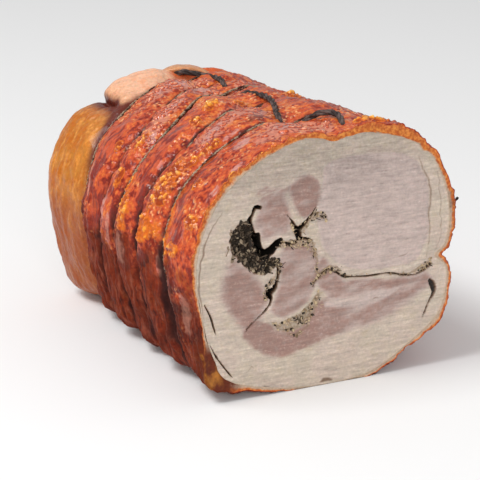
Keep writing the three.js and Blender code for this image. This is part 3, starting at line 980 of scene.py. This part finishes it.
def make_band(band):
    """One band of rind, from the cut face or a loop of twine back to the next loop, as a closed ring."""
    shape = bpy.context.scene.roast_shape
    columns = grid_size(ROLL_GIRTH)
    rows = grid_size(BAND_WIDTH if band else FIRST_BAND_WIDTH)
    angle = np.linspace(0, TURN, columns, endpoint=False)[None]
    t = np.linspace(0, 1, rows)[:, None] + 0 * angle
    angle = angle + 0 * t
    front = np.full_like(angle, FACE_Y) if band == 0 else loop_place(band - 1, angle)
    back = loop_place(band, angle)
    points = base_skin(angle, mix(front, back, t), band_relief(angle, t, band) + notch(angle))
    marks = rind_marks(points, angle, t, band)
    relief, extra = rind_texture(points, t, marks)
    ease = smoothstep(0, 0.03, 1 - t) * (1 if band == 0 else smoothstep(0, 0.03, t))
    outer = points + grid_normals(points, False) * (relief * ease)[..., None]
    if band == 0:
        outer[..., 1] = np.maximum(outer[..., 1], FACE_Y + 0.2 * MM)
        face_reach = outline_reach(angle[0]) + notch(angle[0]) - rind_depth(angle[0])
        wavy = face_reach + 0.5 * MM * fractal(points[0], 6 * MM, SEED + 71)
        lip = np.stack([np.cos(angle[0]) * wavy, np.full(columns, FACE_Y + 0.4 * MM),
                        AXIS_HEIGHT + np.sin(angle[0]) * wavy], axis=-1)
        shares = np.linspace(0, 1, 9)[1:, None, None]
        cut = mix(outer[0][None], lip[None], shares)
        bulge = 0.5 * MM * np.sin(math.pi * shares[..., 0])
        cut[..., 1] += 0.45 * MM * fractal(cut, 3 * MM, SEED + 73) + bulge
        cut[..., 1] = np.maximum(cut[..., 1], FACE_Y)
        front_rows = cut[::-1]
        inner = face_reach - outline_reach(angle[0])
    else:
        inner = notch(angle[0]) - shape.furrow - 2 * MM
        front_rows = base_skin(angle[0], front[0], inner)[None]
    back_rows = base_skin(angle[0], back[0], inner)[None]
    grid = keep_up(np.concatenate([front_rows, outer, back_rows]))
    ahead = len(front_rows)
    fields = {**marks, **extra}
    for name, values in fields.items():
        whole = np.zeros(grid.shape[:2])
        whole[ahead:-1] = values
        fields[name] = whole
    cut = np.zeros(grid.shape[:2])
    rim = np.zeros(grid.shape[:2])
    if band == 0:
        cut[:ahead] = np.linspace(1.2, 0.35, ahead)[:, None]
        pale = 0.5 * angle_bump(angle[0], 285, 50) + 0.2 * angle_bump(angle[0], 10, 25)
        rim[:ahead] = 0.5 + pale - 0.9 * angle_bump(angle[0], 75, 45)
        fields["drip"][:ahead] = angle_bump(angle[0], DRIP, 12)
        fields["dark"][:ahead] = 0.85 * angle_bump(angle[0], 14, 26)
    fields["cut"] = cut
    fields["rim"] = rim
    faces = [grid_faces(len(grid), columns, True)]
    return build_mesh(f"rind_band_{band + 1}", grid.reshape(-1, 3), faces, fields)


def make_end():
    """The uncut end: two swollen lobes past the last loop of twine, closed at the far end."""
    shape = bpy.context.scene.roast_shape
    columns = grid_size(END_GIRTH)
    angle = np.linspace(0, TURN, columns, endpoint=False)[None]
    shoulder = END_Y - END_SIDE
    side = np.linspace(0, 1, grid_size(END_SIDE))[:, None] + 0 * angle
    dome = np.linspace(0, 1, grid_size(END_DOME), endpoint=False)[1:, None] + 0 * angle
    front = loop_place(len(LOOPS) - 1, angle)
    t = np.concatenate([side, np.ones_like(dome)])
    turn = np.concatenate([np.zeros_like(side), dome]) * math.pi / 2
    angle = angle + 0 * t
    share = np.cos(turn) ** 0.8
    y = mix(front, shoulder, t) + (END_Y - shoulder) * np.sin(turn) ** 0.8
    wander = angle + 0.05 * noise(np.stack([y, 0 * y, 0 * y], axis=-1), 9 * MM, SEED + 31)
    crease = 0.55 * angle_bump(wander, CLEFT, 7) + 0.45 * angle_bump(wander, CLEFT - 2, 2.2)
    cleft = crease * 13 * MM * smoothstep(0.1, 0.75, t)
    rise = np.sin(t * math.pi / 2) ** 0.7
    plump = mix(1, 0.8, np.clip(np.sin(angle), 0, 1)) - 0.8 * angle_bump(angle, 62, 28)
    swell = mix(-shape.furrow, shape.end_swell * plump, rise)
    points = base_skin(angle, y, swell - cleft)
    points[..., 0] *= share
    points[..., 2] = AXIS_HEIGHT + (points[..., 2] - AXIS_HEIGHT) * share
    streaks = np.stack([0.4 * points[..., 0], points[..., 1], 0.4 * points[..., 2]], axis=-1)
    cells, _ = bubbles(points * (0.8, 1, 0.45), 7 * MM, SEED + 33)
    lumps = 1.5 * MM * fractal(points, 26 * MM, SEED + 3, 2)
    lumps += 1.1 * MM * fractal(streaks, 6 * MM, SEED + 5, 3)
    lumps += 0.55 * MM * cells
    grid = keep_up(points + grid_normals(points, False) * (lumps * smoothstep(0, 0.06, t))[..., None])
    root = base_skin(angle[0], front[0], -shape.furrow - 14 * MM)[None]
    grid = np.concatenate([root, grid])
    border = (0.35 + 0.75 * angle_bump(angle, 140, 22)) * np.exp(-((t / 0.17) ** 2))
    far = np.array([(0, END_Y - 0.5 * MM, AXIS_HEIGHT)])
    near = np.array([(0, float(front.mean()), AXIS_HEIGHT)])
    ragged = angle + 0.3 * fractal(points, 12 * MM, SEED + 39)
    fields = {
        "dark": np.clip(crease * 1.3 * smoothstep(-0.1, 0.4, t) * share + border, 0, 1),
        "pale": angle_bump(angle, 108, 30) * smoothstep(0.84, 0.985, share),
        "ember": angle_bump(ragged, 52, 40) * smoothstep(0.5, 0.95, share),
        # low: where painted shade darkens the part of the end that faces down.
        "low": smoothstep(-0.35, 0.45, -np.sin(angle) + 0.2 * fractal(points, 20 * MM, SEED + 37)),
    }
    for name, values in fields.items():
        fields[name] = np.concatenate([values[0], values.ravel(), [values[-1].mean(), 0]])
    rows = len(grid)
    faces = [grid_faces(rows, columns, False), pole_faces(rows - 1, columns, rows * columns, False),
             pole_faces(0, columns, rows * columns + 1, True)]
    return build_mesh("uncut_end", np.concatenate([grid.reshape(-1, 3), far, near]), faces, fields)


# --- The cut face ---


FACE_CORE = MM * np.array((-42, 95))


def face_fields(x, z):
    """What the cut face is made of at each point, where shade is painted on it, and how deep it is sunk."""
    flat = np.stack([x, 0 * x, z], axis=-1)
    wx = x + 1.3 * MM * fractal(flat, 8 * MM, SEED + 81)
    wz = z + 1.3 * MM * fractal(flat, 8 * MM, SEED + 85)
    ragged = 0.9 * MM * fractal(flat, 2.6 * MM, SEED + 87)
    streaky = np.stack([0.3 * x, 0 * x, z - 0.25 * x], axis=-1)
    marbling = fractal(streaky, 5 * MM, SEED + 89)
    soft = 1.7 * MM
    loin, ball, upper, centre, left, belly, above = (
        smoothstep(-outside * soft, inside * soft, area_field(wx, wz, outline))
        for outline, outside, inside in MUSCLES)
    beside = x + 40 * MM
    patch = np.exp(-((beside / (24 * MM)) ** 2) - ((z - 146 * MM - 0.3 * beside) / (10 * MM)) ** 2)
    streaks = smoothstep(-0.15, 0.45, marbling) * patch
    lean = np.clip(loin + ball + upper + centre + left + belly + above + streaks, 0, 1)
    rightward = smoothstep(-25 * MM, 25 * MM, wx)
    belly = belly * (1 - 0.9 * smoothstep(-2.5 * MM, 1.5 * MM, line_field(wx, wz, FAT_STREAK)))
    rosy = np.maximum.reduce([
        ball, 0.75 * upper, 0.75 * centre, 0.95 * left, belly * mix(1.6, 0.75, rightward), 0.85 * above,
        0.9 * streaks, 0.12 * loin,
    ])
    rosy = np.clip(rosy * (1 + 0.45 * marbling), 0, 1)
    hollow = area_field(wx, wz, HOLLOW_AREA) + 0.6 * ragged
    crevice = lines_field(x, z, CREVICES) + 0.5 * ragged
    crack = lines_field(x, z, CRACKS) + 0.35 * ragged
    mark = lines_field(wx, wz, STAINS)
    herb = area_field(wx, wz, HERB_AREA) + ragged
    crumbs = lines_field(wx, wz, CRUMB_LINES) + ragged
    depth = np.maximum.reduce([
        26 * MM * smoothstep(-0.3 * MM, 2 * MM, hollow), 9 * MM * smoothstep(-0.3 * MM, 1.1 * MM, crevice),
        3 * MM * smoothstep(-0.5 * MM, 0.5 * MM, crack),
        (3 * MM + 4 * ragged) * smoothstep(-0.5 * MM, 3 * MM, herb),
        0.8 * MM * smoothstep(-1 * MM, 2 * MM, crumbs),
    ])
    # Painted shade: the hollow and the crevices are coloured near black.
    recess_shade = np.maximum(smoothstep(-1 * MM, 0.2 * MM, hollow), smoothstep(-0.4 * MM, 0.5 * MM, crevice))
    stain = np.clip(np.maximum.reduce([
        recess_shade, 0.8 * smoothstep(-0.5 * MM, 0.35 * MM, crack), 0.75 * smoothstep(-1.2 * MM, 1.2 * MM, herb),
        0.48 * smoothstep(-1.1 * MM, 1.1 * MM, mark),
    ]), 0, 1)
    tan = 0.6 * smoothstep(-1.5 * MM, 1.5 * MM, crumbs)
    herbs = np.clip(smoothstep(-1 * MM, 1 * MM, herb) * (1 - smoothstep(-1 * MM, 0.5 * MM, hollow))
                    + 0.22 * smoothstep(-3 * MM, 0, herb), 0, 1)
    loose = np.clip(smoothstep(-0.5 * MM, 1.5 * MM, crumbs) * (1 - recess_shade), 0, 1)
    seam = np.minimum(np.abs(area_field(wx, wz, LOIN)), np.abs(area_field(wx, wz, ROUND_MUSCLE)))
    swell = 0.8 * MM * fractal(flat, 34 * MM, SEED + 91, 2) - 0.45 * MM * np.exp(-((seam / (1.5 * MM)) ** 2))
    swell = swell + 0.25 * MM * marbling
    # Painted shade: the top of the face is made darker, most of all at its upper left.
    top = smoothstep(118 * MM, 165 * MM, z) * (1 - 0.5 * smoothstep(20 * MM, 80 * MM, x))
    fields = {"lean": lean, "rosy": rosy, "stain": stain, "tan": tan, "herbs": herbs, "loose": loose,
              "top": top}
    return fields, depth - swell


def make_face():
    """The cut face and the meat behind it, inside the rind."""
    columns = grid_size(FACE_GIRTH)
    rows = grid_size(FACE_REACH)
    angle = np.linspace(0, TURN, columns, endpoint=False)
    reach = outline_reach(angle) + notch(angle) - rind_depth(angle)
    ring = np.stack([np.cos(angle), np.sin(angle), 0 * angle], axis=-1)
    parted = smoothstep(-0.5, 0.3, fractal(ring, 0.2, SEED + 95, 2))
    gap = -0.4 * MM + 0.9 * MM * angle_bump(angle, 188, 36) * parted
    rim = np.stack([np.cos(angle) * (reach - gap), AXIS_HEIGHT + np.sin(angle) * (reach - gap)], axis=-1)
    share = np.linspace(0, 1, rows + 1)[1:, None] ** 0.9
    flat = FACE_CORE + (rim[None] - FACE_CORE) * share[..., None]
    x, z = flat[..., 0], flat[..., 1]
    fields, depth = face_fields(x, z)
    edge = smoothstep(0.985, 1, share + 0 * x)
    y = FACE_Y + 1.1 * MM + depth * (1 - edge) - 0.5 * MM * edge
    front = np.stack([x, np.maximum(y, FACE_Y), z], axis=-1)
    backs = []
    for back, narrow, squat in ((6 * MM, 0.97, 0.93), (40 * MM, 0.92, 0.86), (LENGTH - 40 * MM, 0.86, 0.78)):
        inner = np.stack([rim[:, 0] * narrow, np.full(columns, FACE_Y + back),
                          AXIS_HEIGHT + (rim[:, 1] - AXIS_HEIGHT) * squat], axis=-1)
        backs.append(inner)
    grid = keep_up(np.concatenate([front, np.array(backs)]))
    _, core_depth = face_fields(FACE_CORE[:1], FACE_CORE[1:])
    poles = np.array([(FACE_CORE[0], FACE_Y + 1.1 * MM + core_depth[0], FACE_CORE[1]),
                      (0, FACE_Y + LENGTH - 40 * MM, AXIS_HEIGHT)])
    fields["seared"] = 0.35 * edge
    for name, values in fields.items():
        whole = np.zeros(grid.shape[:2])
        whole[:len(front)] = values
        fields[name] = np.concatenate([whole.ravel(), [values[0].mean(), 0]])
    count = len(grid)
    faces = [grid_faces(count, columns, False), pole_faces(0, columns, count * columns, True),
             pole_faces(count - 1, columns, count * columns + 1, False)]
    return build_mesh("cut_meat", np.concatenate([grid.reshape(-1, 3), poles]), faces, fields)


# --- Geometry Nodes ---


class Garden(Tree):
    """A Geometry Nodes tree with named inputs."""

    def __init__(self, name, inputs):
        self.tree = bpy.data.node_groups.new(name, "GeometryNodeTree")
        self.tree.interface.new_socket("Geometry", in_out="INPUT", socket_type="NodeSocketGeometry")
        self.keys = {}
        for label, kind in inputs.items():
            socket = self.tree.interface.new_socket(label, in_out="INPUT", socket_type=kind)
            self.keys[label] = socket.identifier
        self.tree.interface.new_socket("Geometry", in_out="OUTPUT", socket_type="NodeSocketGeometry")
        self.given = self.tree.nodes.new("NodeGroupInput").outputs

    def math(self, operation, first, second):
        return self.node("ShaderNodeMath", {"operation": operation}, {0: first, 1: second}).outputs[0]

    def close(self, geometry):
        """Ends the tree: real meshes, and the material given."""
        real = self.node("GeometryNodeRealizeInstances", None, {"Geometry": geometry}).outputs[0]
        sockets = {"Geometry": real, "Material": self.given["Material"]}
        done = self.node("GeometryNodeSetMaterial", None, sockets).outputs[0]
        out = self.tree.nodes.new("NodeGroupOutput")
        self.tree.links.new(done, out.inputs[0])

    def grow(self, name, source, values):
        """Runs the tree on an object, and gives the result as a plain mesh object."""
        modifier = source.modifiers.new("grow", "NODES")
        modifier.node_group = self.tree
        for label, value in values.items():
            modifier[self.keys[label]] = value
        graph = bpy.context.evaluated_depsgraph_get()
        mesh = bpy.data.meshes.new_from_object(source.evaluated_get(graph), depsgraph=graph)
        source.modifiers.remove(modifier)
        bpy.data.objects.remove(source)
        mesh.name = name
        return add_object(name, mesh)


def twist_tree():
    """Strands twisted round a path, each a round tube."""
    garden = Garden("twisted_strands", {
        "Strand Radius": "NodeSocketFloat", "Twist Radius": "NodeSocketFloat", "Turns": "NodeSocketFloat",
        "Strands": "NodeSocketInt", "Spacing": "NodeSocketFloat", "Material": "NodeSocketMaterial",
    })
    path = garden.node("GeometryNodeMeshToCurve", None, {"Mesh": garden.given["Geometry"]}).outputs[0]
    sockets = {"Curve": path, "Length": garden.given["Spacing"]}
    path = garden.node("GeometryNodeResampleCurve", {"mode": "LENGTH"}, sockets).outputs[0]
    index_of = {"Geometry": path, "Amount": garden.given["Strands"]}
    copies = garden.node("GeometryNodeDuplicateElements", {"domain": "SPLINE"}, index_of)
    along = garden.node("GeometryNodeSplineParameter").outputs["Factor"]
    turned = garden.math("MULTIPLY", along, garden.given["Turns"])
    copy = garden.math("DIVIDE", copies.outputs["Duplicate Index"], garden.given["Strands"])
    angle = garden.math("MULTIPLY", garden.math("ADD", turned, copy), TURN)
    sockets = {"Vector": garden.node("GeometryNodeInputNormal").outputs[0],
               "Axis": garden.node("GeometryNodeInputTangent").outputs[0], "Angle": angle}
    aside = garden.node("ShaderNodeVectorRotate", {"rotation_type": "AXIS_ANGLE"}, sockets).outputs[0]
    sockets = {0: aside, "Scale": garden.given["Twist Radius"]}
    offset = garden.node("ShaderNodeVectorMath", {"operation": "SCALE"}, sockets).outputs[0]
    sockets = {"Geometry": copies.outputs[0], "Offset": offset}
    strands = garden.node("GeometryNodeSetPosition", None, sockets).outputs[0]
    sockets = {"Resolution": 7, "Radius": garden.given["Strand Radius"]}
    section = garden.node("GeometryNodeCurvePrimitiveCircle", None, sockets).outputs[0]
    sockets = {"Curve": strands, "Profile Curve": section, "Fill Caps": True}
    garden.close(garden.node("GeometryNodeCurveToMesh", None, sockets).outputs[0])
    return garden


def path_object(name, points, closed):
    """A path as a chain of edges."""
    mesh = bpy.data.meshes.new(name)
    count = len(points)
    edges = [(i, (i + 1) % count) for i in range(count if closed else count - 1)]
    mesh.from_pydata([tuple(map(float, p)) for p in points], edges, [])
    return add_object(name, mesh)


def make_strands(name, points, closed, diameter, strands, lay, material):
    """A twisted cord along a path. Lay is its length for one turn."""
    points = np.asarray(points)
    steps = np.diff(np.concatenate([points, points[:1]]) if closed else points, axis=0)
    length = float(np.linalg.norm(steps, axis=1).sum())
    radius = diameter / 2 / (1 + 1 / math.sin(math.pi / strands))
    twist = diameter / 2 - radius
    source = path_object(name + "_path", points, closed)
    values = {"Strand Radius": radius * 1.12, "Twist Radius": twist, "Turns": float(round(length / lay)),
              "Strands": strands, "Spacing": lay / 12, "Material": material}
    return twist_tree().grow(name, source, values)


def crumb_tree():
    """Crumbs, flakes and stalks scattered over a surface, as thick as one of its fields says."""
    garden = Garden("scattered_crumbs", {
        "Density": "NodeSocketFloat", "Field": "NodeSocketString", "Crumb Size": "NodeSocketFloat",
        "Stalk Length": "NodeSocketFloat", "Seed": "NodeSocketInt", "Material": "NodeSocketMaterial",
    })
    sockets = {"Name": garden.given["Field"]}
    named = garden.node("GeometryNodeInputNamedAttribute", {"data_type": "FLOAT"}, sockets)
    thick = garden.math("MULTIPLY", named.outputs["Attribute"], garden.given["Density"])
    sockets = {"Mesh": garden.given["Geometry"], "Density": thick, "Seed": garden.given["Seed"]}
    spread = garden.node("GeometryNodeDistributePointsOnFaces", {"distribute_method": "RANDOM"}, sockets)
    crumb = garden.node("GeometryNodeMeshIcoSphere", None, {"Radius": 1.0, "Subdivisions": 1}).outputs[0]
    sockets = {"Vertices": 6, "Radius": 0.22, "Depth": garden.given["Stalk Length"]}
    stalk = garden.node("GeometryNodeMeshCylinder", None, sockets).outputs[0]
    flake = garden.node("GeometryNodeMeshIcoSphere", None, {"Radius": 1.0, "Subdivisions": 1}).outputs[0]
    sockets = {"Geometry": flake, "Scale": Vector((1.6, 0.8, 0.25))}
    flake = garden.node("GeometryNodeTransform", None, sockets).outputs[0]
    kinds = garden.node("GeometryNodeGeometryToInstance")
    for shape in (stalk, flake, flake, crumb):
        garden.tree.links.new(shape, kinds.inputs[0])
    chance = garden.node("FunctionNodeRandomValue", {"data_type": "INT"},
                         {"Min_002": 0, "Max_002": 3, "Seed": garden.given["Seed"]})
    turn = garden.node("FunctionNodeRandomValue", {"data_type": "FLOAT_VECTOR"},
                       {"Min": (0, 0, 0), "Max": (TURN, TURN, TURN), "Seed": garden.given["Seed"]})
    size = garden.node("FunctionNodeRandomValue", {"data_type": "FLOAT_VECTOR"},
                       {"Min": (0.2, 0.2, 0.2), "Max": (1, 1, 1), "Seed": 7})
    sockets = {0: find_socket(size.outputs, "Value"), "Scale": garden.given["Crumb Size"]}
    scale = garden.node("ShaderNodeVectorMath", {"operation": "SCALE"}, sockets).outputs[0]
    sockets = {
        "Points": spread.outputs["Points"], "Instance": kinds.outputs[0], "Pick Instance": True,
        "Instance Index": find_socket(chance.outputs, "Value_002"),
        "Rotation": find_socket(turn.outputs, "Value"), "Scale": scale,
    }
    placed = garden.node("GeometryNodeInstanceOnPoints", None, sockets).outputs[0]
    tone = garden.node("FunctionNodeRandomValue", {"data_type": "FLOAT"}, {"Seed": 3})
    settings = {"data_type": "FLOAT", "domain": "INSTANCE"}
    sockets = {"Geometry": placed, "Name": "grain", "Value": find_socket(tone.outputs, "Value_001")}
    garden.close(garden.node("GeometryNodeStoreNamedAttribute", settings, sockets).outputs[0])
    return garden


def settle(piece, material, slot, *nodes):
    """Gives a finished piece its material, and says what it is a part of."""
    if material is not None and not piece.data.materials:
        piece.data.materials.append(material)
    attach(piece, "root")
    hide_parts(*nodes)


# --- Operators ---


class ROAST_OT_rind(bpy.types.Operator):
    """Makes the bands of crackling between the loops of twine."""

    bl_idname = "roast.rind"
    bl_label = "Make the rind"

    def execute(self, context):
        material = rind_material(context.scene.roast_colours)
        for band in range(len(LOOPS)):
            settle(make_band(band), material, "roast_pork", "pork_roll")
        return {"FINISHED"}


class ROAST_OT_end(bpy.types.Operator):
    """Makes the golden uncut end past the last loop of twine, and the skin that has lifted beside it."""

    bl_idname = "roast.uncut_end"
    bl_label = "Make the uncut end"

    def execute(self, context):
        material = end_material()
        settle(make_end(), material, "roast_pork", "pork_roll")
        settle(make_flap(), material, "roast_pork", "pork_roll")
        return {"FINISHED"}


class ROAST_OT_face(bpy.types.Operator):
    """Makes the meat with its cut face, and the herb crumbs packed and spilt on it."""

    bl_idname = "roast.cut_face"
    bl_label = "Make the cut face"

    def execute(self, context):
        shape = context.scene.roast_shape
        colours = context.scene.roast_colours
        meat = make_face()
        herbs = crumb_material("herb_crumbs", (0.025, 0.016, 0.009), colours.herb, (0.27, 0.20, 0.135),
                               colours.straw, -0.06)
        loose = crumb_material("tan_crumbs", (0.03, 0.02, 0.012), (0.34, 0.23, 0.13), (0.50, 0.37, 0.27),
                               (0.55, 0.42, 0.26), 0.18)
        kinds = (("herbs", herbs, 0.3, 2.3, "packed_herbs"), ("loose", loose, 0.3, 1.5, "loose_crumbs"))
        for seed, (field, material, share, size, name) in enumerate(kinds):
            source = meat.copy()
            source.data = meat.data.copy()
            context.scene.collection.objects.link(source)
            values = {"Density": share * shape.crumbs * 1e4, "Field": field, "Crumb Size": size * MM,
                      "Stalk Length": 6.5, "Seed": SEED + seed, "Material": material}
            crumbs = crumb_tree().grow(name, source, values)
            settle(crumbs, material, "herbs", "herb_filling")
        settle(meat, meat_material(colours), "roast_pork", "pork_roll")
        return {"FINISHED"}


class ROAST_OT_twine(bpy.types.Operator):
    """Makes the five loops of two-strand twine, some of them sunk deep in their furrows, and a loose end."""

    bl_idname = "roast.twine"
    bl_label = "Make the twine loops"

    def execute(self, context):
        shape = context.scene.roast_shape
        colours = context.scene.roast_colours
        material = twine_material("cotton_twine", colours.twine, (0.07, 0.02, 0.012), 0.45)
        angle = np.linspace(0, TURN, 360, endpoint=False) - math.pi / 2
        for loop, rise in enumerate(TWINE_RISE):
            path = base_skin(angle, loop_place(loop, angle), notch(angle) - shape.furrow + rise)
            path[:, 2] = np.maximum(path[:, 2], shape.twine / 2 + 0.1 * MM)
            name = f"twine_{loop + 1}"
            twine = make_strands(name, path, True, shape.twine, 2, 6 * MM, material)
            settle(twine, material, "twine", f"twine_loop_{loop + 1}")
        burnt = twine_material("burnt_twine", colours.char, (0.07, 0.02, 0.012), 0.3)
        path = catmull(LOOSE_END, 8, False)
        loose = make_strands("loose_twine_end", path, False, shape.twine, 2, 6 * MM, burnt)
        settle(loose, burnt, "twine", "twine_loop_1")
        return {"FINISHED"}


class ROAST_OT_seam(bpy.types.Operator):
    """Makes the charred cord that sews the rind along the top."""

    bl_idname = "roast.seam_cord"
    bl_label = "Make the seam cord"

    def execute(self, context):
        shape = context.scene.roast_shape
        colours = context.scene.roast_colours
        material = twine_material("charred_cord", colours.char, (0.13, 0.09, 0.08), 0.42)
        path = catmull(SEAM_LINE, 8, False)
        cord = make_strands("seam_cord", path, False, shape.seam_cord, 3, 30 * MM, material)
        settle(cord, material, "charred_twine", "seam_twine")
        return {"FINISHED"}


class ROAST_OT_stage(bpy.types.Operator):
    """Lays the floor, hangs the lights and sets the camera."""

    bl_idname = "roast.stage"
    bl_label = "Set the stage"

    def execute(self, context):
        stage = context.scene.roast_stage
        half = 6
        floor = bpy.data.meshes.new("floor")
        corners = [(-half, -half, 0), (half, -half, 0), (half, half, 0), (-half, half, 0)]
        floor.from_pydata(corners, [], [(0, 1, 2, 3)])
        floor = add_object("floor", floor)
        recipe = Recipe("pale_floor")
        floor.data.materials.append(recipe.finish(stage.floor[:], 0.9, **{"Specular IOR Level": 0.0}))
        world = bpy.data.worlds.new("soft_light")
        world.use_nodes = True
        world.node_tree.nodes["Background"].inputs["Color"].default_value = (1, 1, 1, 1)
        world.node_tree.nodes["Background"].inputs["Strength"].default_value = stage.ambient
        context.scene.world = world
        middle = Vector(((LOW.x + HIGH.x) / 2, (LOW.y + HIGH.y) / 2, (LOW.z + HIGH.z) / 2))
        self.hang("key", middle, (-2.6, 0.5, 4.4), 2.2, stage.key)
        self.hang("fill", middle, (-1.6, -4.2, 1.4), 2.0, stage.fill)
        self.hang("glint", middle, (-0.9, -0.3, 1.3), 0.4, stage.glint)
        data = bpy.data.cameras.new("camera")
        camera = add_object("camera", data)
        aim = Vector((middle.x, middle.y - 5 * MM, middle.z - 24 * MM))
        back = Vector((math.sin(stage.azimuth) * math.cos(stage.elevation),
                       -math.cos(stage.azimuth) * math.cos(stage.elevation), math.sin(stage.elevation)))
        camera.location = aim + back * stage.distance
        camera.rotation_euler = (-back).to_track_quat("-Z", "Y").to_euler()
        data.lens = stage.lens
        context.scene.camera = camera
        context.scene.view_settings.view_transform = "Standard"
        return {"FINISHED"}

    def hang(self, name, middle, offset, size, power):
        """A square soft light that looks at the middle of the roll."""
        data = bpy.data.lights.new(name, "AREA")
        data.size = size
        data.energy = power
        light = add_object(name, data)
        light.location = middle + Vector(offset)
        light.rotation_euler = (-Vector(offset)).to_track_quat("-Z", "Y").to_euler()


STEPS = (ROAST_OT_stage, ROAST_OT_rind, ROAST_OT_end, ROAST_OT_face, ROAST_OT_twine, ROAST_OT_seam)


class ROAST_PT_panel(bpy.types.Panel):
    """Lists the steps in the 3D view's sidebar."""

    bl_label = "Porchetta"
    bl_idname = "ROAST_PT_panel"
    bl_space_type = "VIEW_3D"
    bl_region_type = "UI"
    bl_category = "Porchetta"

    def draw(self, context):
        for step in STEPS:
            self.layout.operator(step.bl_idname)
        for group in (context.scene.roast_shape, context.scene.roast_colours, context.scene.roast_stage):
            for name in group.__annotations__:
                self.layout.prop(group, name)


CLASSES = (RoastShape, RoastColours, RoastStage, *STEPS, ROAST_PT_panel)


def register():
    for kind in CLASSES:
        bpy.utils.register_class(kind)
    bpy.types.Scene.roast_shape = PointerProperty(type=RoastShape)
    bpy.types.Scene.roast_colours = PointerProperty(type=RoastColours)
    bpy.types.Scene.roast_stage = PointerProperty(type=RoastStage)


def unregister():
    del bpy.types.Scene.roast_stage
    del bpy.types.Scene.roast_colours
    del bpy.types.Scene.roast_shape
    for kind in reversed(CLASSES):
        bpy.utils.unregister_class(kind)


def main():
    register()
    for step in STEPS:
        group, name = step.bl_idname.split(".")
        getattr(getattr(bpy.ops, group), name)()


if __name__ == "__main__":
    main()
